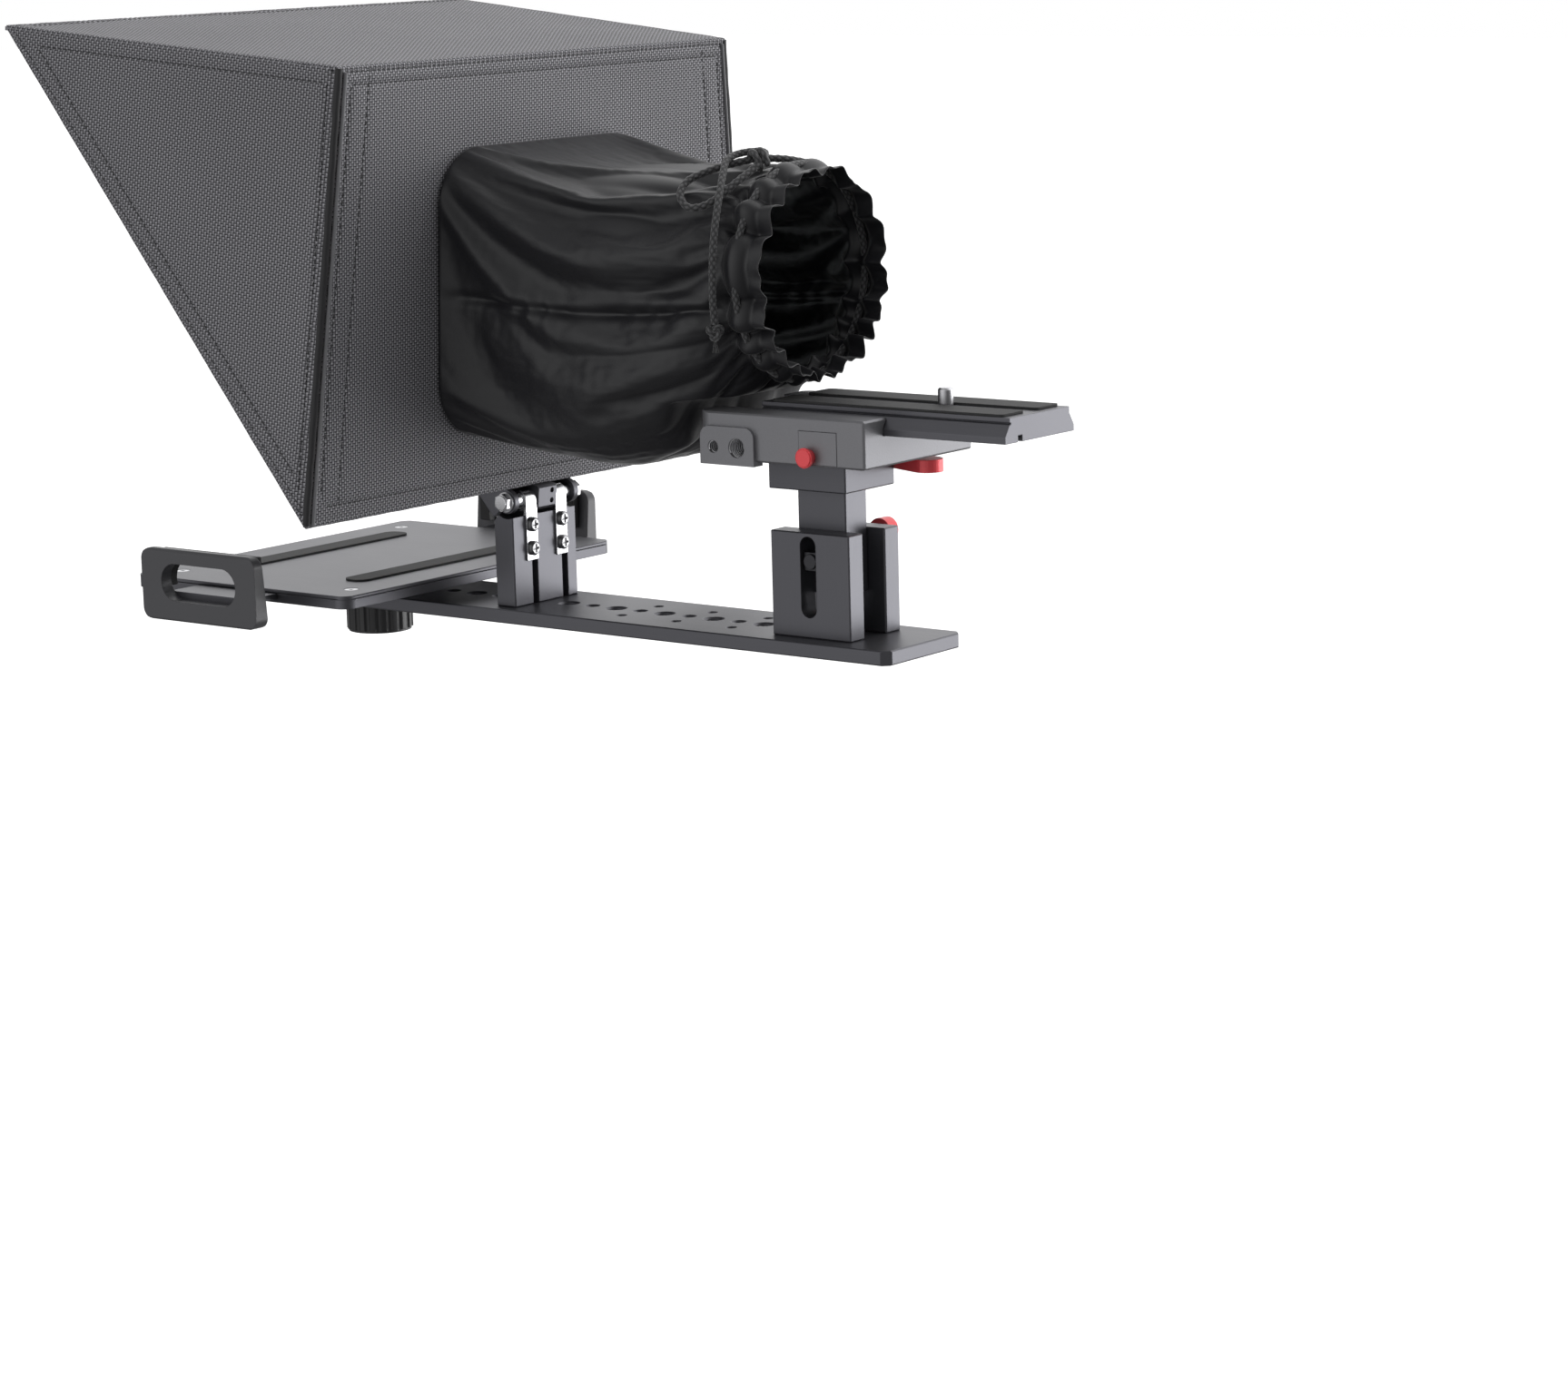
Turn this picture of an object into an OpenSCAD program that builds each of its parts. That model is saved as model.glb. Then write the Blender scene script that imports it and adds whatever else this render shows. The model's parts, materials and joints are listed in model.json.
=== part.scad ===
// Tablet teleprompter: a base rail that sits on a tripod, a height-adjustable
// camera riser with a quick-release clamp, a hinged hood with a 45 degree
// beam-splitter glass, a camera sleeve, and a sliding tablet tray with two clips.
// Millimetres. +Z up, +Y from the camera towards the speaker, +X to the
// operator's right. The origin is the mouth of the tripod socket.

/* [Base plate] */
// Width of the base plate
plate_w = 52.4; // [51:0.2:54]
// Thickness of the base plate
plate_t = 6; // [5:0.5:7]
// Distance from the tripod socket to the rear end of the plate
plate_rear = 134; // [132:1:150]
// Distance from the tripod socket to the front end of the plate
plate_front = 186; // [184:1:200]
// Distance between neighbouring large sockets
socket_pitch = 26.2; // [26:0.1:26.5]

/* [Riser] */
// Height of the two riser jaws above the base plate
jaw_h = 43; // [42:0.5:44]
// Length of a riser jaw along the plate
jaw_l = 39.2; // [38:0.2:40]
// Thickness of a riser jaw
jaw_t = 9.7; // [9:0.1:10]
// Width of the gap in which the block slides
jaw_gap = 14.6; // [14:0.1:15]

/* [Camera clamp] */
// Width of the clamp body
clamp_w = 73; // [72:0.5:76]
// Length of the clamp body
clamp_l = 83.6; // [82:0.2:86]
// Height of the clamp body
clamp_h = 19.3; // [19:0.1:20]
// Length of the quick-release plate
quick_l = 120; // [100:1:124]
// Width across the dovetail of the quick-release plate
quick_w = 47.2; // [46:0.1:47.6]

/* [Hinge column] */
// Width of the column
column_w = 41; // [40:0.5:42]
// Depth of the column
column_d = 10.5; // [10:0.1:11]
// Height of the column above the base plate
column_h = 39.5; // [39:0.5:40]
// Diameter of the hinge shaft
shaft_d = 6; // [5.5:0.1:6]

/* [Hood] */
// Backward tilt of the head from the position where the glass stands at 45 degrees
head_tilt = 5.6; // [0:0.1:6]
// Width of the hood along its bottom edge
hood_bottom_w = 287.6; // [284:0.2:290]
// Width of the hood along its rear top edge
hood_top_w = 245.6; // [242:0.2:248]
// Width of the hood along its front top edge
hood_front_w = 280; // [276:1:284]
// Thickness of a stiffened hood panel
panel_t = 2.2; // [2:0.1:2.4]
// Thickness of the beam-splitter glass
glass_t = 3; // [2:0.5:3]

/* [Camera sleeve] */
// Width of the sleeve where it is sewn to the hood
sleeve_w = 133; // [130:1:134]
// Height of the sleeve where it is sewn to the hood
sleeve_h = 120; // [118:1:122]
// Outer radius of the gathered neck around the lens
neck_r = 41.5; // [40:0.5:42]
// Diameter of the drawstring
string_d = 3; // [2.5:0.1:3]

/* [Tablet tray] */
// Width of the tray
tray_w = 173.6; // [170:0.2:174]
// Length of the tray
tray_l = 125; // [120:1:126]
// Distance between the outer faces of the two clips
clip_span = 220.4; // [218:0.2:224]
// Length of a clip
clip_l = 66.6; // [64:0.2:68]
// Height of a clip
clip_h = 30.6; // [30:0.1:32]

/* [Hidden] */
$fn = 48;

// general
eps = 0.01;          // overlap that keeps cuts clean
edge = 0.5;          // bevel on machined edges
slip = 0.1;          // gap between sliding faces
big_socket_r = 3.97; // tapping radius of a 3/8 inch thread
small_socket_r = 2.55; // tapping radius of a 1/4 inch thread
m4_r = 2;
m3_r = 1.5;

// colours
anodised = [0.20, 0.20, 0.22];
cast_grey = [0.17, 0.17, 0.18];
steel = [0.80, 0.80, 0.82];
chrome = [0.90, 0.90, 0.92];
red = [0.78, 0.13, 0.17];
plastic = [0.14, 0.14, 0.15];
nylon = [0.16, 0.16, 0.17];
satin = [0.08, 0.08, 0.09];
rubber = [0.06, 0.06, 0.06];

// riser
riser_y = -89.8;
jaw_x = jaw_gap / 2 + jaw_t / 2;
jaw_top = plate_t + jaw_h;
lock_y = -88.9;
lock_z = 37;
slot_w = 7.8;
slot_z0 = 14.3;
slot_z1 = 47.4;
block_l = 24;
block_z0 = 23;
top_plate_z = 65.8;
top_plate_h = 13.4;
top_plate_w = 33.3;
top_plate_l = 38.5;
riser_screw_y = 10;

// clamp
clamp_z = top_plate_z + top_plate_h;
clamp_y = -90.8;
clamp_top = clamp_z + clamp_h;
channel_z = 91.5;
channel_side = 0.3;
deck_w = 41;
flank_z0 = channel_z + 2.6;
flank_z1 = channel_z + 7.4;
quick_top = 101.4;
quick_rear = -190.4;
gib_l = 50;
gib_w = 5;
button_y = -105.6;
button_z = 83;
button_r = 4;
boss_y = -65.8;
boss_l = 27;
boss_out = 1.8;
boss_z = 77.2;
boss_hole_z = 84.6;
lever_x = 30;
lever_y = -92;
camera_screw_y = -146;
ring_z = channel_z + 1.2;

// hinge
column_y = 64.6;
column_cut = 3.3;    // bevel that stops the head at 45 degrees
hinge_y = 67.6;
hinge_z = 51;
strap_t = 1.6;
strap_w = 7;
strap_x = [-9.1, 10.1];
groove_x = [-7, 12.4];
groove_w = 3.8;
eye_r = 4;
strap_screw_z = [30.2, 40.4];
bracket_screw_x = [-14, 14];
bracket_screw_s = 15;

// hood corners in the head's own frame, before it is tilted about the hinge
hood_z = 187.4;
hood_back_y = 6.7;
hood_front_y = 179.2;
hood_low_y = -1.5;
hood_low_z = 6.2;
hood_lean = atan2(hood_back_y - hood_low_y, hood_z - hood_low_z);

// glass frame, measured along the glass (s) and square to it (n)
rail_w = 10;
rail_n0 = 0.8;
rail_t = 6.4;
frame_s0 = 12;
frame_s1 = 244;
frame_half = 134;
glass_lap = 4;

// sleeve
mouth_z = 91.7;
mouth_r = 24;
mid_y = -2;
mid_w = 124;
mid_h = 129;
mid_z = 138.5;
mid_r = 46;
neck_y0 = -88;
neck_y1 = -64;
neck_z = 151.5;
sleeve_wall = 2.4;
string_y = -76;
string_ring_r = neck_r + string_d / 2 + 0.1;

// tray
tray_y = 162.6;
tray_z = 12;
tray_h = 5.5;
tray_corner = 6;
tray_floor = 1.5;
arm_w = 46;
arm_t = 2.4;
arm_in = 30;
clip_z = 4.3;
clip_pad_t = 3;
clip_top_t = 4.6;
clip_foot_t = 7.2;
knob_r = 14.6;
knob_h = 13;
knob_z = -1.6;
slot_half = 14;

// free end of the drawstring: from the casing, round one bow loop, then down
tail_route = [
    [6, -75.8, 194.6], [-3, -71, 196.6], [-12, -64.5, 197], [-20, -58, 195.5], [-28, -52, 193],
    [-36, -48, 189.5], [-42, -49, 184.5], [-43.5, -54, 180], [-40.5, -59.5, 180.5],
    [-36, -64, 184], [-29, -67, 189], [-21, -68.7, 193.3], [-14.5, -69.5, 197.5],
    [-9.5, -66.5, 199.6], [-11.5, -61.5, 199.9], [-17, -58, 199], [-24, -58.5, 197],
    [-31, -62, 192], [-37.5, -65.5, 186], [-43, -68, 178.5], [-47, -69.5, 170],
    [-49, -70, 161], [-49.5, -70, 152], [-49, -69.5, 143], [-47.5, -69, 135]];
knot_r = 3.2;

// ---------------------------------------------------------------- helpers

// Rectangle with cut corners, centred.
module cut_rect(w, d, c) {
    polygon([
        [-w / 2 + c, -d / 2], [w / 2 - c, -d / 2], [w / 2, -d / 2 + c],
        [w / 2, d / 2 - c], [w / 2 - c, d / 2], [-w / 2 + c, d / 2],
        [-w / 2, d / 2 - c], [-w / 2, -d / 2 + c]]);
}

// Block with every edge bevelled, centred on x and y, standing on z = 0.
module bevel_box(w, d, h, c = edge) {
    intersection() {
        linear_extrude(h) cut_rect(w, d, c);
        translate([0, d / 2, h / 2])
            rotate([90, 0, 0]) linear_extrude(d) cut_rect(w, h, c);
        translate([-w / 2, 0, h / 2])
            rotate([90, 0, 90]) linear_extrude(w) cut_rect(d, h, c);
    }
}

// Rectangle with round corners, centred.
module round_rect(w, d, r) {
    union() {
        square([w - 2 * r, d], center = true);
        square([w, d - 2 * r], center = true);
        for (x = [-1, 1], y = [-1, 1])
            translate([x * (w / 2 - r), y * (d / 2 - r)]) circle(r);
    }
}

// Slot outline with round ends, from y0 to y1.
module slot_shape(w, y0, y1) {
    union() {
        translate([-w / 2, y0 + w / 2]) square([w, y1 - y0 - w]);
        translate([0, y0 + w / 2]) circle(w / 2);
        translate([0, y1 - w / 2]) circle(w / 2);
    }
}

// Cylinder along +X from x = 0.
module rod_x(r, l) {
    rotate([0, 90, 0]) cylinder(r = r, h = l);
}

// Tapped socket right through a plate, with a countersink on top only.
module socket(r, depth, lead = 0.8) {
    union() {
        translate([0, 0, -eps]) cylinder(r = r, h = depth + 2 * eps);
        translate([0, 0, depth - lead])
            cylinder(r1 = r, r2 = r + lead + eps, h = lead + eps);
    }
}

// Countersunk screw with its flat head at z = 0, pointing up, with a hex recess.
module countersunk_screw(r, l) {
    difference() {
        union() {
            cylinder(r1 = 2 * r, r2 = r, h = r);
            translate([0, 0, r]) cylinder(r = r, h = l - r);
        }
        translate([0, 0, -eps]) cylinder(r = r * 0.72, h = r * 0.9, $fn = 6);
    }
}

// Room for a countersunk screw.
module countersink_cut(r, l, gap = 0.3) {
    union() {
        translate([0, 0, -eps]) cylinder(r1 = 2 * r + gap, r2 = r + gap, h = r);
        cylinder(r = r + gap, h = l);
    }
}

// Pan-head screw pointing along +Y, head towards -Y, with a cross recess.
module pan_screw(r, head_r, head_h, l) {
    difference() {
        union() {
            rotate([90, 0, 0]) cylinder(r = head_r, h = head_h - 0.8);
            translate([0, -head_h + 0.8, 0])
                rotate([90, 0, 0]) cylinder(r1 = head_r, r2 = head_r - 1, h = 0.8);
            rotate([-90, 0, 0]) cylinder(r = r, h = l);
        }
        for (a = [0, 90])
            translate([0, -head_h, 0]) rotate([0, a, 0])
                cube([head_r * 1.1, 2, 0.9], center = true);
    }
}

// Places children in the head's frame, tilted about the hinge axis.
module in_head() {
    translate([0, hinge_y, hinge_z]) rotate([head_tilt, 0, 0]) children();
}

// Places children on the glass: x across, y along the glass, z square to it.
module on_glass() {
    in_head() translate([0, hood_low_y, hood_low_z]) rotate([45, 0, 0]) children();
}

// Places children on the outer face of the hood's back panel: x across, y up it.
module on_back() {
    in_head() translate([0, hood_low_y, hood_low_z])
        rotate([90 - hood_lean, 0, 0]) children();
}

// ---------------------------------------------------------------- base

module base_plate() {
    color(anodised) difference() {
        intersection() {
            translate([0, (plate_front - plate_rear) / 2, 0])
                bevel_box(plate_w, plate_front + plate_rear, plate_t);
            translate([0, (plate_front - plate_rear) / 2, -eps])
                linear_extrude(plate_t + 2 * eps)
                cut_rect(plate_w, plate_front + plate_rear, 3.5);
        }
        for (k = [-2 : 2]) translate([0, k * socket_pitch, 0])
            socket(big_socket_r, plate_t);
        translate([0, 4 * socket_pitch, 0]) socket(big_socket_r, plate_t);
        for (k = [-2.5 : 1 : 1.5]) translate([0, (k + 0) * socket_pitch, 0])
            socket(small_socket_r, plate_t);
        for (k = [3.5, 4.5]) translate([0, k * socket_pitch, 0])
            socket(small_socket_r, plate_t);
        for (k = [-1 : 1], x = [-12.2, 12.2])
            translate([x, -15.9 + k * 29.2, 0]) socket(2.1, plate_t, 0.3);
        translate([0, 0, -eps]) linear_extrude(plate_t + 2 * eps)
            slot_shape(6.6, tray_y - slot_half, tray_y + slot_half);
        for (x = [-jaw_x, jaw_x], y = [-riser_screw_y, riser_screw_y])
            translate([x, riser_y + y, 0]) countersink_cut(m4_r, plate_t + 1);
        for (x = [-13, 13])
            translate([x, column_y + column_d / 2, 0]) countersink_cut(m4_r, plate_t + 1);
    }
}

module riser_jaw(side) {
    color(anodised) difference() {
        translate([side * jaw_x, riser_y, plate_t]) bevel_box(jaw_t, jaw_l, jaw_h);
        translate([side * jaw_x - jaw_t, lock_y, 0]) rotate([90, 0, 90])
            linear_extrude(2 * jaw_t) slot_shape(slot_w, slot_z0, slot_z1);
        for (y = [-riser_screw_y, riser_screw_y])
            translate([side * jaw_x, riser_y + y, plate_t - eps])
                cylinder(r = m4_r + 0.05, h = 8.4);
    }
}

module riser_jaw_left() { riser_jaw(-1); }
module riser_jaw_right() { riser_jaw(1); }

module riser_screws() {
    color(steel) for (x = [-jaw_x, jaw_x], y = [-riser_screw_y, riser_screw_y])
        translate([x, riser_y + y, 0.1]) countersunk_screw(m4_r, plate_t + 8);
}

module hinge_column() {
    color(anodised) difference() {
        translate([0, column_y + column_d / 2, plate_t])
            bevel_box(column_w, column_d, column_h);
        for (x = groove_x)
            translate([x - groove_w / 2, column_y - eps, plate_t - eps])
                cube([groove_w, 3.2, column_h + 2 * eps]);
        // front top edge cut away under the head
        translate([-column_w, column_y + column_d - column_cut, plate_t + column_h])
            rotate([-45, 0, 0]) cube([2 * column_w, 12, 8]);
        // seats for the straps and room for the middle of the bracket
        for (x = strap_x)
            translate([x - strap_w / 2 - 0.1, column_y - eps, strap_screw_z[0] - 5.2])
                cube([strap_w + 0.2, hinge_y - eye_r + strap_t - column_y + 0.06, 40]);
        for (x = strap_x, z = strap_screw_z)
            translate([x, column_y - eps, z]) rotate([-90, 0, 0])
                cylinder(r = m3_r + 0.05, h = 7);
        for (x = [-13, 13])
            translate([x, column_y + column_d / 2, plate_t - eps])
                cylinder(r = m4_r + 0.05, h = 10.4);
        // relief under the shaft, eyes and bracket
        translate([-column_w, hinge_y, hinge_z]) rod_x(7.3, 2 * column_w);
    }
}

module column_screws() {
    color(steel) for (x = [-13, 13])
        translate([x, column_y + column_d / 2, 0.1]) countersunk_screw(m4_r, plate_t + 10);
}

module hinge_strap(x) {
    rear = hinge_y - eye_r;
    color(chrome) difference() {
        union() {
            translate([x - strap_w / 2, rear, strap_screw_z[0] - 5])
                cube([strap_w, strap_t, hinge_z - strap_screw_z[0] + 5]);
            translate([x - strap_w / 2, rear + eye_r, hinge_z]) rod_x(eye_r, strap_w);
        }
        translate([x - strap_w, rear + eye_r, hinge_z]) rod_x(shaft_d / 2 + 0.05, 2 * strap_w);
        for (z = strap_screw_z)
            translate([x, rear - 1, z]) rotate([-90, 0, 0])
                cylinder(r = m3_r + 0.1, h = strap_t + 2);
    }
}

module hinge_strap_left() { hinge_strap(strap_x[0]); }
module hinge_strap_right() { hinge_strap(strap_x[1]); }

module strap_screws() {
    color(chrome) for (x = strap_x, z = strap_screw_z)
        translate([x, hinge_y - eye_r, z]) pan_screw(m3_r, 3.2, 1.9, 7.6);
}

// ---------------------------------------------------------------- riser

module riser_block() {
    color(anodised) difference() {
        translate([0, riser_y + 0.9, block_z0])
            bevel_box(jaw_gap - 2 * slip, block_l, top_plate_z - block_z0);
        translate([-jaw_gap, lock_y, lock_z]) rod_x(3.05, 2 * jaw_gap);
        for (y = [-8, 8]) translate([0, riser_y + 0.9 + y, top_plate_z - 10])
            cylinder(r = m4_r + 0.05, h = 11);
    }
}

module block_screws() {
    color(steel) for (y = [-8, 8])
        translate([0, riser_y + 0.9 + y, clamp_z - 0.2]) rotate([180, 0, 0])
            countersunk_screw(m4_r, top_plate_h + 8);
}

module riser_top_plate() {
    color(anodised) difference() {
        translate([0, riser_y + 0.9, top_plate_z])
            bevel_box(top_plate_w, top_plate_l, top_plate_h);
        for (y = [-8, 8]) translate([0, riser_y + 0.9 + y, clamp_z])
            rotate([180, 0, 0]) countersink_cut(m4_r, top_plate_h + 1);
        for (x = [-11, 11]) translate([x, riser_y + 0.9, clamp_z - 9])
            cylinder(r = m4_r + 0.05, h = 10);
    }
}

// Half outline of the dovetail channel or plate, grown sideways by g.
module dovetail(w, g, z0, z1) {
    polygon([
        [-w / 2 - g, z0], [w / 2 + g, z0], [w / 2 + g, flank_z0 + g],
        [deck_w / 2 + g, flank_z1 + g], [deck_w / 2 + g, z1],
        [-deck_w / 2 - g, z1], [-deck_w / 2 - g, flank_z1 + g],
        [-w / 2 - g, flank_z0 + g]]);
}

// Extrudes an x-z outline along Y from y0 to y1.
module along_y(y0, y1) {
    translate([0, y1, 0]) rotate([90, 0, 0]) linear_extrude(y1 - y0) children();
}

module clamp_body() {
    left = -clamp_w / 2;
    rear = clamp_y - clamp_l / 2;
    color(cast_grey) difference() {
        union() {
            intersection() {
                translate([0, clamp_y, clamp_z]) bevel_box(clamp_w, clamp_l, clamp_h, 0.8);
                translate([0, clamp_y, clamp_z])
                    linear_extrude(clamp_h) round_rect(clamp_w, clamp_l, 7);
            }
            // the rear corners stay square
            translate([0, rear + 6, clamp_z]) bevel_box(clamp_w, 12, clamp_h, 0.8);
            // accessory boss on the left side
            translate([left - boss_out, boss_y, boss_z]) rotate([90, 0, 90])
                linear_extrude(boss_out + 4) union() {
                    translate([0, 8]) round_rect(boss_l, 15.4, 4.5);
                    translate([0, 3.4]) square([boss_l, 6.2], center = true);
                }
        }
        along_y(rear - 1, clamp_y + clamp_l / 2 + 1)
            dovetail(quick_w, channel_side, channel_z - slip, clamp_top + 1);
        // pocket of the sliding gib
        translate([quick_w / 2 - 4, clamp_y - gib_l / 2 - 0.2, channel_z - slip])
            cube([4 + gib_w + 2.2, gib_l + 0.4, flank_z1 - channel_z + 1.2]);
        // sockets in the boss
        translate([left - boss_out - eps, -58.9, boss_hole_z]) rod_x(small_socket_r, 12);
        translate([left - boss_out - eps, -70.7, boss_hole_z]) rod_x(big_socket_r, 12);
        // seat of the button plate, and the bore behind it
        translate([left - eps, -109.9, clamp_z + 7.4]) rotate([90, 0, 90])
            linear_extrude(1.2) square([18.8, 13.4], center = true);
        translate([left, button_y, button_z]) rod_x(3.1, 9.5);
        // pivot of the lever
        translate([lever_x, lever_y, clamp_z - eps]) cylinder(r = m4_r + 0.05, h = 9);
        // screws down into the riser
        for (x = [-11, 11]) translate([x, riser_y + 0.9, channel_z - slip])
            rotate([180, 0, 0]) countersink_cut(m4_r, channel_z - clamp_z + 1);
        // lightening slot in the channel floor
        translate([0, 0, clamp_z + 5]) linear_extrude(20)
            slot_shape(15, clamp_y + 12, clamp_y + 36);
    }
}

module clamp_screws() {
    color(steel) for (x = [-11, 11])
        translate([x, riser_y + 0.9, channel_z - slip - 0.2]) rotate([180, 0, 0])
            countersunk_screw(m4_r, 19);
}

module button_plate() {
    color(cast_grey) translate([-clamp_w / 2 - 0.15, 0, 0]) difference() {
        translate([0, -109.9, clamp_z + 7.4]) rotate([90, 0, 90])
            linear_extrude(1.3) square([18.5, 13.1], center = true);
        translate([-1, button_y, button_z]) rod_x(3.1, 4);
    }
}

module button_spring() {
    color(steel) translate([-clamp_w / 2 + 6.4, button_y, button_z]) difference() {
        rod_x(2.7, 3);
        translate([-1, 0, 0]) rod_x(1.9, 5);
    }
}

module release_button() {
    color(red) translate([-clamp_w / 2, button_y, button_z]) {
        translate([-4.2, 0, 0]) rod_x(button_r - 0.5, 0.6);
        translate([-3.7, 0, 0]) rod_x(button_r, 1.2);
        translate([-2.6, 0, 0]) rod_x(3.05, 6.4);
    }
}

module clamp_gib() {
    x0 = quick_w / 2 + channel_side;
    color(cast_grey) translate([0, clamp_y + gib_l / 2, 0]) rotate([90, 0, 0])
        linear_extrude(gib_l) polygon([
            [x0 + 0.05, channel_z], [x0 + gib_w, channel_z],
            [x0 + gib_w, flank_z1 + 0.8], [deck_w / 2 + 0.6, flank_z1 + 0.8],
            [x0 + 0.05, flank_z0 + 0.5]]);
}

module clamp_lever() {
    color(red) difference() {
        union() {
            translate([lever_x, lever_y, clamp_z - 7.6]) cylinder(r = 6.8, h = 7.4);
            hull() {
                translate([lever_x, lever_y, clamp_z - 7.4]) cylinder(r = 5.5, h = 5.2, $fn = 32);
                translate([18, -124, clamp_z - 7.4]) cylinder(r = 6, h = 5.2, $fn = 32);
            }
        }
        translate([lever_x, lever_y, clamp_z - 8]) cylinder(r = m4_r + 0.06, h = 11);
        translate([lever_x, lever_y, clamp_z - 8]) cylinder(r = 4, h = 2.8);
    }
}

module clamp_lever_screw() {
    color(steel) translate([lever_x, lever_y, clamp_z - 7.2]) difference() {
        union() {
            cylinder(r = 3.8, h = 1.9);
            translate([0, 0, 1.8]) cylinder(r = m4_r, h = 13);
        }
        translate([0, 0, -eps]) cylinder(r = 1.5, h = 1.3, $fn = 6);
    }
}

// Stud, its washer face and the left-hand nut that the lever pulls together.
module lock_screw() {
    color(steel) union() {
        translate([-jaw_gap / 2 - jaw_t + 1, lock_y, lock_z]) rod_x(3, 38);
        translate([jaw_gap / 2 + jaw_t + 0.1, lock_y, lock_z]) rod_x(6.5, 1.2);
    }
}

module lock_nut() {
    color(steel) difference() {
        translate([-jaw_gap / 2 - jaw_t + 2, lock_y, lock_z]) rotate([90, 0, 90])
            linear_extrude(5) square([slot_w - 0.9, 7.4], center = true);
        translate([-jaw_gap, lock_y, lock_z]) translate([-10, 0, 0]) rod_x(3.05, 20);
    }
}

module lock_lever() {
    face = jaw_gap / 2 + jaw_t + 1.4;
    color(red) difference() {
        union() {
            translate([face, lock_y, lock_z]) rod_x(6.6, 9.5);
            for (a = [45, 225]) hull() {
                translate([face + 1, lock_y, lock_z]) rod_x(5.5, 8, $fn = 32);
                translate([face + 2, lock_y - 11.8 * cos(a), lock_z + 11.8 * sin(a)])
                    rod_x(5.2, 6, $fn = 32);
            }
        }
        translate([face - 1, lock_y, lock_z]) rod_x(3.02, 8);
    }
}

// ---------------------------------------------------------------- camera plate

module quick_release_plate() {
    color(anodised) difference() {
        along_y(quick_rear, quick_rear + quick_l)
            dovetail(quick_w, 0, channel_z, quick_top);
        // shallow grooves along both long sides
        for (x = [-1, 1]) translate([x * (deck_w / 2 + 0.35), quick_rear - 1, 99.2])
            rotate([0, 45, 0]) cube([1, quick_l + 2, 1]);
        // slot and lower recess for the camera screw
        translate([0, 0, channel_z - 1]) linear_extrude(20)
            slot_shape(6.8, camera_screw_y - 24, camera_screw_y + 48);
        translate([0, 0, channel_z - 1]) linear_extrude(5.6)
            slot_shape(17, camera_screw_y - 29, camera_screw_y + 53);
        // safety groove under the rear end
        translate([-15, quick_rear - 1, channel_z - 1]) cube([3, 14, 3.6]);
    }
}

module plate_pads() {
    color(rubber) for (x = [-1, 1])
        translate([x * 11.9, quick_rear + quick_l / 2, quick_top])
            linear_extrude(1) round_rect(15.6, quick_l - 8, 2);
}

module camera_screw() {
    color(steel) translate([0, camera_screw_y, 0]) difference() {
        union() {
            translate([0, 0, ring_z + 1]) cylinder(r = 7.4, h = 2.2);
            translate([0, 0, ring_z + 3]) cylinder(r = 3.1, h = 12.2);
            translate([0, 0, ring_z + 15.2]) cylinder(r1 = 3.1, r2 = 2.5, h = 0.8);
            translate([-1.4, -3, ring_z - 1]) cube([2.8, 6, 2.2]);
        }
        translate([0, -6, ring_z]) rotate([-90, 0, 0]) cylinder(r = 0.68, h = 12);
    }
}

// Folding finger ring: a half round of wire on a straight pin.
module camera_screw_ring() {
    color(steel) translate([0, camera_screw_y, ring_z]) union() {
        intersection() {
            rotate_extrude() translate([6.2, 0]) circle(0.6);
            translate([0, -10, -2]) cube([20, 20, 4]);
        }
        translate([0, -6.2, 0]) rotate([-90, 0, 0]) cylinder(r = 0.6, h = 12.4);
    }
}

// ---------------------------------------------------------------- head

module hinge_shaft() {
    color(chrome) in_head() translate([-24.5, 0, 0]) rod_x(shaft_d / 2, 49);
}

module hinge_nuts() {
    color(chrome) in_head() for (x = [-23.9, 21.5])
        translate([x, 0, 0]) difference() {
            rotate([0, 90, 0]) cylinder(r = 3.9, h = 2.4, $fn = 6);
            translate([-3, 0, 0]) rod_x(shaft_d / 2 + 0.03, 9);
        }
}

module hinge_washers() {
    color(steel) in_head() for (x = [-21.45, 20.55])
        translate([x, 0, 0]) difference() {
            rod_x(4.3, 0.9);
            translate([-1, 0, 0]) rod_x(shaft_d / 2 + 0.05, 3);
        }
}

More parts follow.
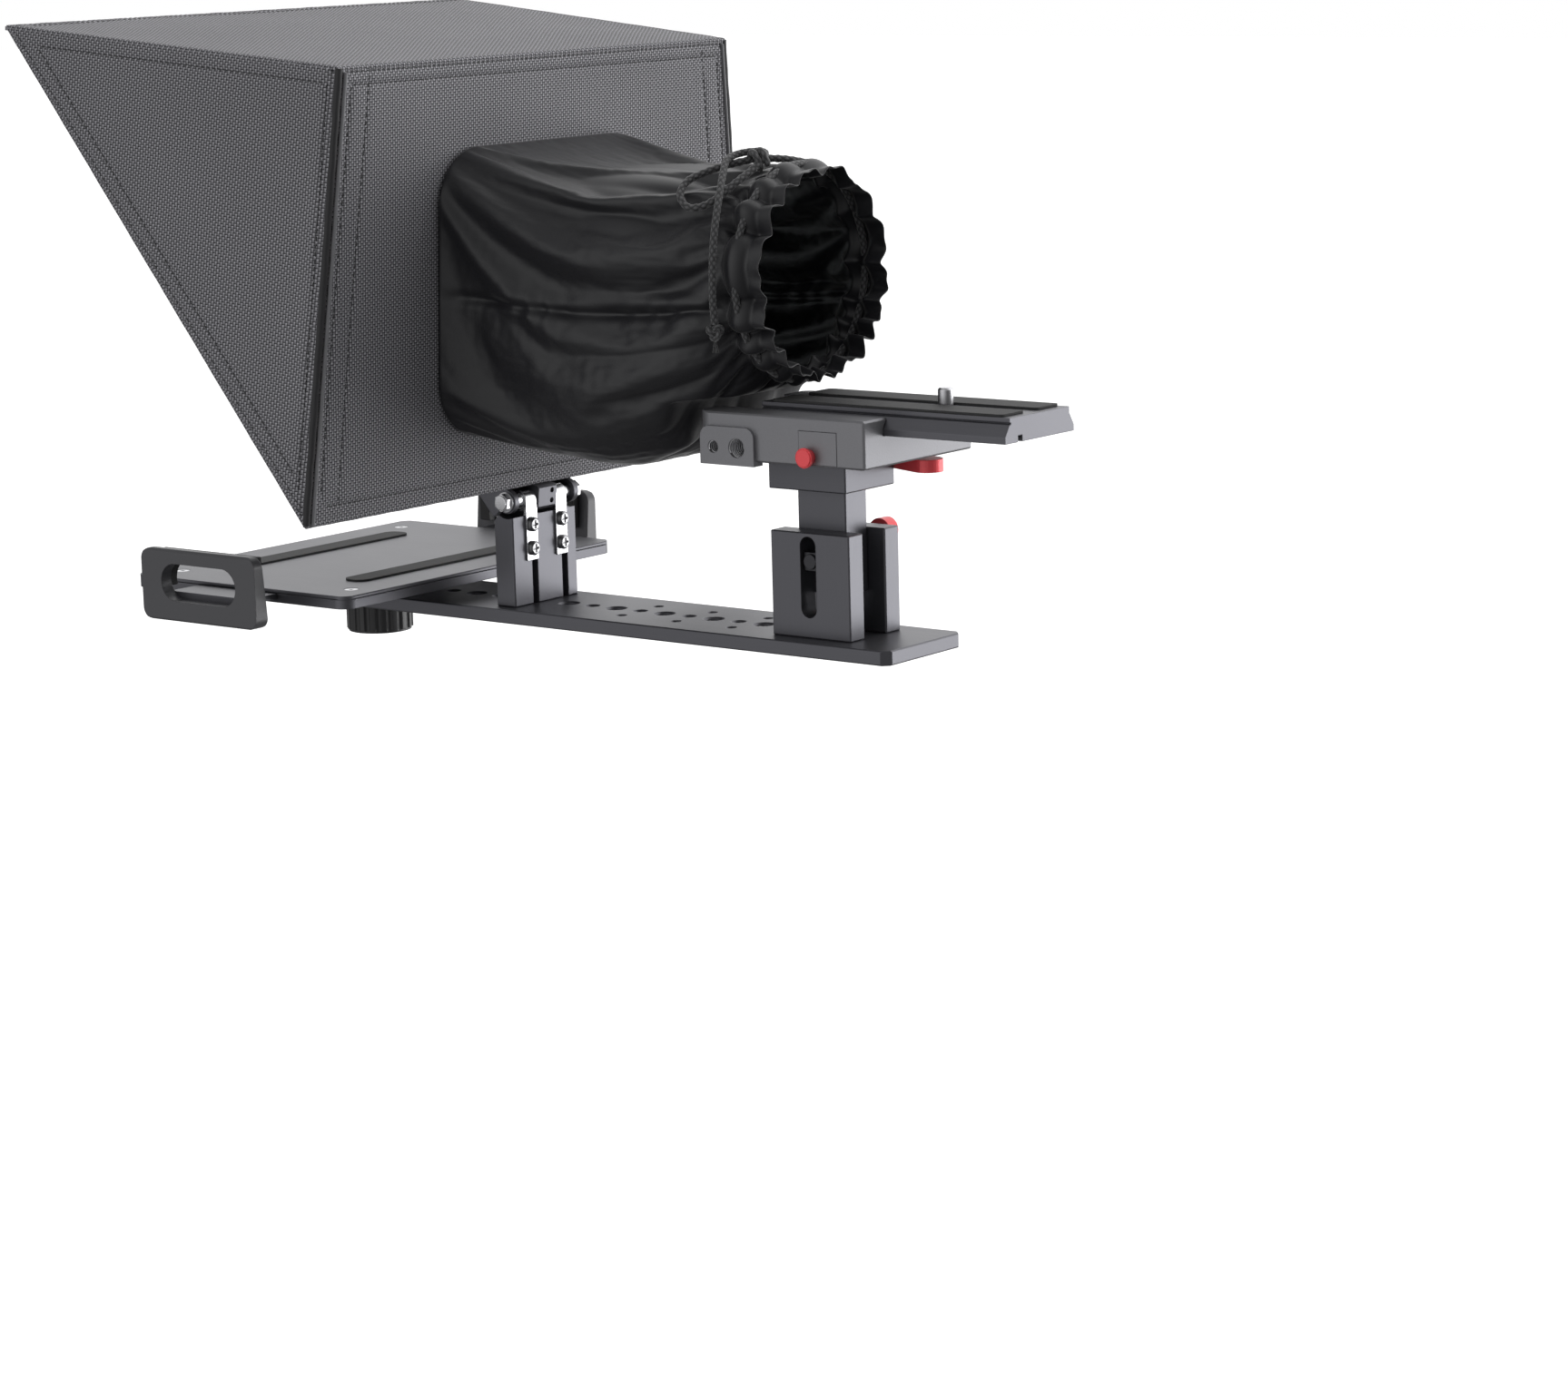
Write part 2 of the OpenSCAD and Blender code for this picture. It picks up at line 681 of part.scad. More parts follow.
// Black block that carries the glass frame: two thin cheeks and a middle lug on
// the shaft, joined by a sloping bar that reaches the lower rail.
module glass_bracket() {
    half = 20.5;
    lug_x0 = strap_x[0] + strap_w / 2 + 0.3;
    lug_x1 = strap_x[1] - strap_w / 2 - 0.3;
    color(anodised) in_head() difference() {
        union() {
            // sloping bar
            translate([-half, 0, 0]) rotate([90, 0, 90]) linear_extrude(2 * half)
                polygon([[6.8, -7.6], [17.6, 2.8], [27, 22], [33.4, 42],
                    [6.4, 15], [6.4, 0]]);
            // cheeks at both ends
            for (x = [-half, half - 2.6]) translate([x, 0, 0]) {
                rod_x(5, 2.6);
                rotate([90, 0, 90]) linear_extrude(2.6)
                    polygon([[1.6, -4.7], [3.2, -4], [6.8, -7.6], [8, -4],
                        [8, 14], [5, 8], [-1, 4.9]]);
            }
            // middle lug
            translate([lug_x0, 0, 0]) rotate([90, 0, 90]) linear_extrude(lug_x1 - lug_x0)
                polygon([[-4.8, -3.4], [-3.4, -4.8], [3.4, -4.8], [6.8, -7.6],
                    [8, -5], [8, 12], [5, 6], [-3.8, 5.6], [-4.8, 4.6]]);
        }
        translate([-30, 0, 0]) rod_x(shaft_d / 2 + 0.03, 60);
        // room for the strap eyes
        for (x = strap_x) translate([x - strap_w / 2 - 0.25, -0.4, 0])
            rod_x(eye_r + 0.9, strap_w + 0.5);
        // seats of the two screws into the lower rail
        translate([0, hood_low_y, hood_low_z]) rotate([45, 0, 0])
            for (x = bracket_screw_x) translate([x, bracket_screw_s, -24]) {
                cylinder(r = m3_r + 0.1, h = 30);
                cylinder(r = 3, h = 21);
            }
        // two blind grub-screw holes in the lug
        for (z = [-1.4, 3]) translate([lug_x1 - 3, -6, z]) rotate([-90, 0, 0])
            cylinder(r = 1.1, h = 2.4);
    }
}

module bracket_screws() {
    color(steel) on_glass() for (x = bracket_screw_x)
        translate([x, bracket_screw_s, -4.8]) {
            cylinder(r = 2.7, h = 1.8);
            cylinder(r = m3_r, h = 9);
        }
}

// Straight rail of the glass frame, from x0 to x1 and s0 to s1, with a slot for
// the glass and, on the lower rail, holes for the bracket screws.
module frame_rail(x0, x1, s0, s1) {
    color(plastic) on_glass() difference() {
        translate([(x0 + x1) / 2, (s0 + s1) / 2, rail_n0])
            bevel_box(x1 - x0, s1 - s0, rail_t, 0.6);
        glass_blank(0.15);
        for (x = bracket_screw_x)
            translate([x, bracket_screw_s, -5]) cylinder(r = m3_r + 0.05, h = 9.4);
    }
}

// Outline of the glass, grown by g all round.
module glass_blank(g) {
    half = frame_half - rail_w + glass_lap;
    s0 = frame_s0 + rail_w - glass_lap;
    s1 = frame_s1 - rail_w + glass_lap;
    translate([-half - g, s0 - g, rail_n0 + 1.7 - g])
        cube([2 * half + 2 * g, s1 - s0 + 2 * g, glass_t + 2 * g]);
}

module frame_bottom_rail() {
    frame_rail(-frame_half, frame_half, frame_s0, frame_s0 + rail_w);
}
module frame_top_rail() {
    frame_rail(-frame_half, frame_half, frame_s1 - rail_w, frame_s1);
}
module frame_left_rail() {
    frame_rail(-frame_half, -frame_half + rail_w, frame_s0 + rail_w, frame_s1 - rail_w);
}
module frame_right_rail() {
    frame_rail(frame_half - rail_w, frame_half, frame_s0 + rail_w, frame_s1 - rail_w);
}

module beam_splitter_glass() {
    color([0.75, 0.85, 0.9, 0.35]) on_glass() glass_blank(0);
}

// Panels of the hood. The side panels run the full height and depth; the top
// and back panels fit between them.
module hood_top() {
    rear = hood_top_w / 2 - panel_t - 0.35;
    front = hood_front_w / 2 - panel_t - 0.35;
    color(nylon) in_head() translate([0, 0, hood_z - panel_t]) linear_extrude(panel_t)
        polygon([[-rear, hood_back_y], [rear, hood_back_y],
            [front, hood_front_y - 0.6], [-front, hood_front_y - 0.6]]);
}

module hood_side(side) {
    top = side * hood_top_w / 2;
    front = side * hood_front_w / 2;
    low = side * hood_bottom_w / 2;
    in = -side * panel_t;
    color(nylon) in_head() polyhedron(
        points = [
            [top, hood_back_y, hood_z], [front, hood_front_y, hood_z],
            [low, hood_low_y, hood_low_z], [top + in, hood_back_y, hood_z],
            [front + in, hood_front_y, hood_z], [low + in, hood_low_y, hood_low_z]],
        faces = side < 0
            ? [[0, 1, 2], [3, 5, 4], [0, 3, 4, 1], [1, 4, 5, 2], [2, 5, 3, 0]]
            : [[0, 2, 1], [3, 4, 5], [0, 1, 4, 3], [1, 2, 5, 4], [2, 0, 3, 5]]);
}

module hood_left() { hood_side(-1); }
module hood_right() { hood_side(1); }

module hood_back() {
    rise = norm([hood_back_y - hood_low_y, hood_z - hood_low_z]);
    top = hood_top_w / 2 - panel_t;
    low = hood_bottom_w / 2 - panel_t;
    color(nylon) on_back() difference() {
        translate([0, 0, -panel_t]) linear_extrude(panel_t)
            polygon([[-low, 0], [low, 0], [top, rise - panel_t - 0.1],
                [-top, rise - panel_t - 0.1]]);
        translate([0, mouth_z - hood_low_z, -panel_t - 1]) linear_extrude(panel_t + 2)
            round_rect(sleeve_w - 12, sleeve_h - 12, mouth_r - 6);
    }
}

// One section of the sleeve: flat slab on the hood's back panel.
module mouth_slab(g) {
    on_back() translate([0, mouth_z - hood_low_z, 0.05]) linear_extrude(0.8)
        round_rect(sleeve_w - 2 * g, sleeve_h - 2 * g, mouth_r - g, $fn = 32);
}

module mid_slab(g) {
    translate([0, mid_y, mid_z]) rotate([90, 0, 0])
        linear_extrude(0.8) round_rect(mid_w - 2 * g, mid_h - 2 * g, mid_r - g, $fn = 32);
}

module neck_slab(g) {
    translate([0, neck_y1 + 1, neck_z]) rotate([90, 0, 0])
        cylinder(r = neck_r - g, h = 1, $fn = 32);
}

module camera_sleeve() {
    color(satin) difference() {
        union() {
            hull() { mouth_slab(0); mid_slab(0); }
            hull() { mid_slab(0); neck_slab(0); }
            translate([0, neck_y1 + 0.5, neck_z]) rotate([90, 0, 0])
                cylinder(r = neck_r, h = neck_y1 - neck_y0 + 0.5);
        }
        hull() {
            translate([0, 2, 0]) mouth_slab(sleeve_wall);
            mid_slab(sleeve_wall);
        }
        hull() { mid_slab(sleeve_wall); neck_slab(sleeve_wall); }
        translate([0, neck_y1 + 2, neck_z]) rotate([90, 0, 0])
            cylinder(r = neck_r - sleeve_wall, h = neck_y1 - neck_y0 + 4);
    }
}

module drawstring() {
    color(rubber) translate([0, string_y, neck_z]) rotate([90, 0, 0])
        rotate_extrude() translate([string_ring_r, 0]) circle(string_d / 2, $fn = 16);
}

// Catmull-Rom point between p1 and p2 at t.
function blend_at(p0, p1, p2, p3, t) = 0.5 * (2 * p1 + (p2 - p0) * t
    + (2 * p0 - 5 * p1 + 4 * p2 - p3) * t * t + (3 * p1 - p0 - 3 * p2 + p3) * t * t * t);

// The route with two points for each of its spans.
function smooth_route(r) = [
    for (i = [0 : len(r) - 2], t = [0, 0.5])
        blend_at(r[max(i - 1, 0)], r[i], r[i + 1], r[min(i + 2, len(r) - 1)], t),
    r[len(r) - 1]];

function unit(v) = v / norm(v);

function heading(r, i) = unit(r[min(i + 1, len(r) - 1)] - r[max(i - 1, 0)]);

// First side direction of each ring, carried along the route without twist.
function side_dirs(r, i = 0, prev = [0, 0, 1]) = i >= len(r) ? [] :
    let (h = heading(r, i), s = unit(prev - (prev * h) * h))
    concat([s], side_dirs(r, i + 1, s));

// Closed tube with flat ends along a route.
module tube(route, d, sides = 8) {
    n = len(route);
    dirs = side_dirs(route);
    ring_points = [
        for (i = [0 : n - 1], k = [0 : sides - 1])
            let (a = 360 * k / sides, u = dirs[i], v = cross(heading(route, i), u))
            route[i] + d / 2 * (cos(a) * u + sin(a) * v)];
    walls = [
        for (i = [0 : n - 2], k = [0 : sides - 1])
            let (a = i * sides + k, b = i * sides + (k + 1) % sides)
            each [[a, a + sides, b], [b, a + sides, b + sides]]];
    ends = [[for (k = [0 : sides - 1]) k],
        [for (k = [sides - 1 : -1 : 0]) (n - 1) * sides + k]];
    polyhedron(points = ring_points, faces = concat(walls, ends));
}

module drawstring_tail() {
    color(rubber) tube(smooth_route(tail_route), string_d);
}

module drawstring_knot() {
    last = tail_route[len(tail_route) - 1];
    color(rubber) translate(last + [0, 0, -knot_r - 0.1]) sphere(knot_r);
}

// ---------------------------------------------------------------- tray

module tray_base() {
    color(anodised) difference() {
        union() {
            translate([0, tray_y, tray_z]) linear_extrude(tray_h - 1.6)
                round_rect(tray_w, tray_l, tray_corner);
            translate([0, tray_y, plate_t + 0.1]) bevel_box(44, 44, tray_z - plate_t + 0.4, 0.4);
        }
        // channels for the two arms
        for (side = [-1, 1])
            translate([side * (arm_in + tray_w / 2) / 2 - (tray_w / 2 - arm_in) / 2 - 3,
                    tray_y - arm_w / 2 - slip, tray_z + tray_floor])
                cube([tray_w / 2 - arm_in + 6, arm_w + 2 * slip, 10]);
        translate([0, tray_y, plate_t - 1]) cylinder(r = 3.02, h = 20);
        for (x = [-1, 1], y = [-1, 1])
            translate([x * 70, tray_y + y * 50, tray_z]) cylinder(r = m3_r + 0.05, h = 8);
    }
}

module tray_cover() {
    color(anodised) difference() {
        intersection() {
            translate([0, tray_y, tray_z + tray_h - 1.6]) bevel_box(tray_w, tray_l, 1.6, 0.4);
            translate([0, tray_y, tray_z]) linear_extrude(tray_h + 1)
                round_rect(tray_w, tray_l, tray_corner);
        }
        for (x = [-1, 1], y = [-1, 1])
            translate([x * 70, tray_y + y * 50, tray_z + tray_h])
                rotate([180, 0, 0]) countersink_cut(m3_r, 3, 0.2);
    }
}

module tray_screws() {
    color(steel) for (x = [-1, 1], y = [-1, 1])
        translate([x * 70, tray_y + y * 50, tray_z + tray_h - 0.1]) rotate([180, 0, 0])
            countersunk_screw(m3_r, 4.6);
}

module tray_stud() {
    color(steel) translate([0, tray_y, 0]) union() {
        translate([0, 0, -10.2]) cylinder(r = 3, h = 10.2 + tray_z + 3.6);
    }
}

module tray_pads() {
    color(rubber) for (y = [-1, 1])
        translate([0, tray_y + y * 36, tray_z + tray_h])
            linear_extrude(0.8) round_rect(110, 12, 5);
}

module tray_knob() {
    color(plastic) difference() {
        translate([0, tray_y, knob_z - knob_h]) union() {
            cylinder(r = knob_r - 0.8, h = knob_h);
            translate([0, 0, 1]) cylinder(r = knob_r, h = knob_h - 2);
        }
        for (a = [0 : 20 : 340]) translate([0, tray_y, 0]) rotate([0, 0, a])
            translate([knob_r + 0.7, 0, knob_z - knob_h - 1]) cylinder(r = 1.6, h = knob_h + 2);
        translate([0, tray_y, knob_z - 9.2]) cylinder(r = 5, h = 10);
        translate([0, tray_y, knob_z - knob_h - 1]) cylinder(r = 8, h = 1.8);
    }
}

module knob_insert() {
    color(steel) translate([0, tray_y, knob_z - 9.1]) difference() {
        cylinder(r = 4.98, h = 9);
        translate([0, 0, -1]) cylinder(r = 3.05, h = 11);
    }
}

module knob_washer() {
    color(steel) translate([0, tray_y, knob_z + 0.1]) difference() {
        cylinder(r = 9, h = 1.4);
        translate([0, 0, -1]) cylinder(r = 3.1, h = 4);
    }
}

// Sliding arm: a flat bar that ends in a flange behind the clip.
module arm(side) {
    tip = clip_span / 2 - clip_foot_t;
    z0 = tray_z + tray_floor + 0.1;
    root = arm_in + 9;
    color(anodised) union() {
        translate([side * (root + tip - 1) / 2, tray_y, z0])
            linear_extrude(arm_t - 0.1) square([tip - 1 - root, arm_w], center = true);
        translate([0, tray_y + arm_w / 2, 0]) rotate([90, 0, 0])
            linear_extrude(arm_w) polygon([
                [side * (tip - 2.4), clip_z + 1.4], [side * tip, clip_z + 1.4],
                [side * (tip + 0.92), z0 + arm_t - 0.1], [side * (tip - 2.4), z0 + arm_t - 0.1]]);
    }
}

// Tablet clip: a wedge-shaped plate with a long round-ended window.
module clip(side) {
    outer = clip_span / 2;
    color(plastic) difference() {
        intersection() {
            translate([0, tray_y + clip_l / 2, clip_z]) rotate([90, 0, 0])
                linear_extrude(clip_l) polygon([
                    [side * (outer - 0.8), 0], [side * outer, 0.8],
                    [side * outer, clip_h - 1.2], [side * (outer - 1.2), clip_h],
                    [side * (outer - clip_top_t + 0.8), clip_h],
                    [side * (outer - clip_top_t), clip_h - 0.8],
                    [side * (outer - clip_foot_t), 0.8],
                    [side * (outer - clip_foot_t + 0.8), 0]]);
            translate([-200, tray_y, clip_z + clip_h / 2]) rotate([90, 0, 90])
                linear_extrude(400) round_rect(clip_l, clip_h, 5);
        }
        translate([-200, tray_y, clip_z + 16.6]) rotate([90, 0, 90])
            linear_extrude(400) round_rect(43.6, 16, 7.9);
    }
}

// Rubber lining of a clip, above and below its window.
module clip_pad(side) {
    x0 = clip_span / 2 - clip_foot_t - clip_pad_t + 0.2;
    color(rubber) difference() {
        translate([side * (x0 + clip_pad_t / 2 + 0.6), tray_y, clip_z + 14])
            bevel_box(clip_pad_t + 1.2, clip_l - 10, clip_h - 15, 0.4);
        clip_back_cut(side);
        translate([-200, tray_y, clip_z + 16.6]) rotate([90, 0, 90])
            linear_extrude(400) round_rect(45, 17, 8.4);
    }
}

// Everything outside the inner face of a clip.
module clip_back_cut(side) {
    outer = clip_span / 2;
    translate([0, tray_y + clip_l, clip_z]) rotate([90, 0, 0])
        linear_extrude(2 * clip_l) polygon([
            [side * (outer + 5), -5], [side * (outer - clip_foot_t - 0.55), -5],
            [side * (outer - clip_foot_t - 0.05), 0.8],
            [side * (outer - clip_top_t - 0.05), clip_h - 0.8],
            [side * (outer + 5), clip_h + 5]]);
}

module left_arm() { arm(-1); }
module right_arm() { arm(1); }
module left_clip() { clip(-1); }
module right_clip() { clip(1); }
module left_clip_pad() { clip_pad(-1); }
module right_clip_pad() { clip_pad(1); }

// ---------------------------------------------------------------- assembly

base_plate();
riser_jaw_left();
riser_jaw_right();
riser_screws();
hinge_column();
column_screws();
hinge_strap_left();
hinge_strap_right();
strap_screws();
riser_block();
block_screws();
riser_top_plate();
clamp_body();
clamp_screws();
button_plate();
button_spring();
lock_nut();
lock_screw();
lock_lever();
release_button();
clamp_gib();
clamp_lever();
clamp_lever_screw();
quick_release_plate();
plate_pads();
camera_screw();
camera_screw_ring();
hinge_shaft();
hinge_nuts();
hinge_washers();
glass_bracket();
bracket_screws();
frame_bottom_rail();
frame_top_rail();
frame_left_rail();
frame_right_rail();
beam_splitter_glass();
hood_top();
hood_left();
hood_right();
hood_back();
camera_sleeve();
drawstring();
drawstring_tail();
drawstring_knot();
tray_base();
tray_cover();
tray_screws();
tray_stud();
tray_pads();
tray_knob();
knob_insert();
knob_washer();
left_arm();
left_clip();
left_clip_pad();
right_arm();
right_clip();
right_clip_pad();
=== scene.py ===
"""Looks of the tablet teleprompter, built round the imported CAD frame. Lengths inside are millimetres
in the CAD's own coordinates, and become metres where a mesh is made."""
import json
import math

import bmesh
import bpy
import numpy as np
from mathutils import Matrix, Vector
from mathutils.kdtree import KDTree


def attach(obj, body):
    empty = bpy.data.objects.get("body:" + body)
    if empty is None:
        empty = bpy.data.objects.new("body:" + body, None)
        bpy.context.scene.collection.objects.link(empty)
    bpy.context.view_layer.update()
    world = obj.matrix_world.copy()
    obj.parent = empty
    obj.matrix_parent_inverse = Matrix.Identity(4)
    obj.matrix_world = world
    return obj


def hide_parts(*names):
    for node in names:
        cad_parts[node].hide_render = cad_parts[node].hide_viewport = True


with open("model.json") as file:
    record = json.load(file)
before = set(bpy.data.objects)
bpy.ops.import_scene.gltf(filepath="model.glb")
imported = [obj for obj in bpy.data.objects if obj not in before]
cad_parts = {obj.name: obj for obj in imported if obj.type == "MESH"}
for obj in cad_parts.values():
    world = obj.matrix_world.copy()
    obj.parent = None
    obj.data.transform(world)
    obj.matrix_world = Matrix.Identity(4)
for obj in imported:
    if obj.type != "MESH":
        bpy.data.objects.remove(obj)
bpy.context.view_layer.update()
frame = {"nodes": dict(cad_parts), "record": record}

scene = bpy.context.scene
MM = 0.001
TURN = 2 * math.pi

# ------------------------------------------------------------------ camera

CAMERA_PLACE = (-1.3509, -1.1078, 0.3090)     # metres
YAW, PITCH, ROLL = (math.radians(a) for a in (52.25, 11.04, -1.48))
LENS, SENSOR = 97.35, 36
NEAREST, FARTHEST = 0.05, 60

forward = Vector((math.sin(YAW) * math.cos(PITCH), math.cos(YAW) * math.cos(PITCH), -math.sin(PITCH)))
level_right = Vector((math.cos(YAW), -math.sin(YAW), 0))
level_up = level_right.cross(forward)
cam_right = level_right * math.cos(ROLL) + level_up * math.sin(ROLL)
cam_up = level_up * math.cos(ROLL) - level_right * math.sin(ROLL)
cam_data = bpy.data.cameras.new("camera")
cam_data.lens = LENS
cam_data.sensor_width = SENSOR
cam_data.sensor_fit = "HORIZONTAL"
cam_data.clip_start = NEAREST
cam_data.clip_end = FARTHEST
camera = bpy.data.objects.new("camera", cam_data)
scene.collection.objects.link(camera)
turned = Matrix((cam_right, cam_up, -forward)).transposed().to_4x4()
camera.matrix_world = Matrix.Translation(CAMERA_PLACE) @ turned
scene.camera = camera

# ------------------------------------------------------------------ node helpers


def node(tree, kind, sockets=None, **settings):
    made = tree.nodes.new("ShaderNode" + kind)
    for key, value in settings.items():
        setattr(made, key, value)
    for key, value in (sockets or {}).items():
        if isinstance(value, bpy.types.NodeSocket):
            tree.links.new(value, made.inputs[key])
        else:
            made.inputs[key].default_value = value
    return made


def calc(tree, operation, *values):
    return node(tree, "Math", dict(enumerate(values)), operation=operation).outputs[0]


def blend_colour(tree, factor, first, second):
    mix = node(tree, "Mix", {0: factor, 6: (*first, 1), 7: (*second, 1)}, data_type="RGBA")
    return mix.outputs[2]


def new_material(name):
    material = bpy.data.materials.new(name)
    material.use_nodes = True
    return material, material.node_tree, material.node_tree.nodes["Principled BSDF"]


def set_constants(bsdf, **constants):
    for key, value in constants.items():
        bsdf.inputs[key.replace("_", " ")].default_value = value


def spread(tree, value, low, high):
    """value from 0 to 1 spread over low to high."""
    return calc(tree, "MULTIPLY_ADD", value, high - low, low)


def shade(colour, amount):
    return tuple(c * amount for c in colour)


def object_place(tree, scale=(1, 1, 1)):
    place = node(tree, "TexCoord").outputs["Object"]
    return node(tree, "Mapping", {"Vector": place, "Scale": scale}).outputs[0]


def noise(tree, vector, scale, detail=2.0, roughness=0.5):
    sockets = {"Vector": vector, "Scale": scale, "Detail": detail, "Roughness": roughness}
    return node(tree, "TexNoise", sockets).outputs[0]


def add_relief(tree, bsdf, height, distance, strength, **sockets):
    """Small surface relief, distance in metres."""
    bump = node(tree, "Bump", {"Height": height, "Distance": distance, "Strength": strength, **sockets})
    tree.links.new(bump.outputs[0], bsdf.inputs["Normal"])


# ------------------------------------------------------------------ kinds of material

EDGE_RADIUS = 0.0005
# strength of the lighter colour painted on edges: a painted edge highlight, with a little wear
WEAR_AND_HIGHLIGHT_GAIN = 2.4
FINE_SHARE = 0.55
BROAD_SCALE = 22.0


def hard_material(name, colour, metallic, roughness, grain, stretch=(1, 1, 1), tone=0.1, change=0.08,
                  bump=0.00002, edge_wear_highlight_gain=1.6):
    """Metal or plastic: fine grain, slow tonal drift, and rounded edges painted lighter: a painted edge
    highlight, with a little wear.
    """
    material, tree, bsdf = new_material(name)
    fine = noise(tree, object_place(tree, stretch), grain, 3.0, 0.6)
    broad = noise(tree, object_place(tree), BROAD_SCALE)
    mixed = calc(tree, "MULTIPLY_ADD", broad, 1 - FINE_SHARE, calc(tree, "MULTIPLY", fine, FINE_SHARE))
    surface = blend_colour(tree, mixed, shade(colour, 1 - tone), shade(colour, 1 + tone))
    rounded = node(tree, "Bevel", {"Radius": EDGE_RADIUS}, samples=4).outputs[0]
    true_normal = node(tree, "NewGeometry").outputs["Normal"]
    facing = node(tree, "VectorMath", {0: rounded, 1: true_normal}, operation="DOT_PRODUCT")
    # edge mask from the bevel: the edges are painted lighter, a painted highlight on the edges with a little
    # wear
    bent = calc(tree, "SUBTRACT", 1.0, facing.outputs["Value"])
    wear_and_highlight = calc(tree, "MULTIPLY", bent, WEAR_AND_HIGHLIGHT_GAIN)
    wear_and_highlight = calc(tree, "MINIMUM", calc(tree, "MULTIPLY", wear_and_highlight, spread(tree, broad, 0.3, 1.2)), 1.0)
    worn_highlit_colour = node(tree, "Mix", {0: wear_and_highlight, 6: surface, 7: (*shade(colour, edge_wear_highlight_gain), 1)}, data_type="RGBA")
    tree.links.new(worn_highlit_colour.outputs[2], bsdf.inputs["Base Color"])
    tree.links.new(spread(tree, mixed, roughness - change, roughness + change), bsdf.inputs["Roughness"])
    add_relief(tree, bsdf, fine, bump, 0.6, Normal=rounded)
    set_constants(bsdf, Metallic=metallic)
    return material


def weave_material(name, thread, gap, pitch, sheen, depth=0.00016, weft=0.45):
    """Coarse weave from UVs in metres: threads cross over and under, and the weft is the darker one."""
    material, tree, bsdf = new_material(name)
    place = node(tree, "TexCoord").outputs["UV"]
    per_metre = (1 / (pitch[0] * MM), 1 / (pitch[1] * MM), 1)
    threads = node(tree, "Mapping", {"Vector": place, "Scale": per_metre}).outputs[0]
    wobble = noise(tree, place, 160.0)
    axes = node(tree, "SeparateXYZ", {0: threads})
    waves = []
    for axis in (0, 1):
        along = calc(tree, "MULTIPLY_ADD", wobble, 0.5, axes.outputs[axis])
        waves.append(calc(tree, "ABSOLUTE", calc(tree, "SINE", calc(tree, "MULTIPLY", along, math.pi))))
    cells = node(tree, "TexChecker", {"Vector": threads, "Scale": 1.0,
                                      "Color1": (1, 1, 1, 1), "Color2": (0, 0, 0, 1)}).outputs[1]
    long_side, round_side = 0.35, 1.1
    over = [calc(tree, "MULTIPLY", calc(tree, "POWER", waves[0], a), calc(tree, "POWER", waves[1], b))
            for a, b in ((long_side, round_side), (round_side, long_side))]
    picked = node(tree, "Mix", {0: cells, 2: over[0], 3: over[1]}, data_type="FLOAT").outputs[0]
    fuzz = noise(tree, place, 2600.0, 2.0, 0.7)
    drift = noise(tree, place, 14.0)
    tone = calc(tree, "MULTIPLY", picked, spread(tree, cells, weft, 1.0))
    tone = calc(tree, "MULTIPLY", tone, spread(tree, fuzz, 0.75, 1.25))
    tone = calc(tree, "MINIMUM", calc(tree, "MULTIPLY", tone, spread(tree, drift, 0.9, 1.1)), 1.0)
    tree.links.new(blend_colour(tree, tone, gap, thread), bsdf.inputs["Base Color"])
    tree.links.new(spread(tree, picked, 0.75, 0.5), bsdf.inputs["Roughness"])
    add_relief(tree, bsdf, picked, depth, 0.7)
    set_constants(bsdf, Sheen_Weight=sheen, Sheen_Roughness=0.4, Specular_IOR_Level=0.22)
    return material


def satin_material(name, colour, pitch, sheen, roughness):
    """Fine smooth cloth: a twill too fine to see as threads, a soft sheen and faint slubs."""
    material, tree, bsdf = new_material(name)
    place = node(tree, "TexCoord").outputs["UV"]
    step = 1 / (pitch * MM)
    slanted = node(tree, "Mapping", {"Vector": place, "Rotation": (0, 0, 0.6), "Scale": (step, step, 1)})
    axes = node(tree, "SeparateXYZ", {0: slanted.outputs[0]})
    ribs = calc(tree, "SINE", calc(tree, "MULTIPLY", axes.outputs[0], TURN))
    twill = calc(tree, "MULTIPLY_ADD", ribs, 0.5, 0.5)
    drawn_out = node(tree, "Mapping", {"Vector": place, "Scale": (1, 9, 1)}).outputs[0]
    slub = noise(tree, drawn_out, 380.0, 3.0)
    cloud = noise(tree, place, 18.0)
    mixed = calc(tree, "MULTIPLY_ADD", cloud, 0.4, calc(tree, "MULTIPLY", twill, 0.2))
    mixed = calc(tree, "MULTIPLY_ADD", slub, 0.4, mixed)
    surface = blend_colour(tree, mixed, shade(colour, 0.7), shade(colour, 1.35))
    tree.links.new(surface, bsdf.inputs["Base Color"])
    tree.links.new(spread(tree, mixed, roughness - 0.07, roughness + 0.09), bsdf.inputs["Roughness"])
    height = calc(tree, "MULTIPLY_ADD", slub, 0.5, calc(tree, "MULTIPLY", twill, 0.5))
    add_relief(tree, bsdf, height, 0.00003, 0.5)
    set_constants(bsdf, Sheen_Weight=sheen, Sheen_Roughness=0.35, Specular_IOR_Level=0.5)
    return material


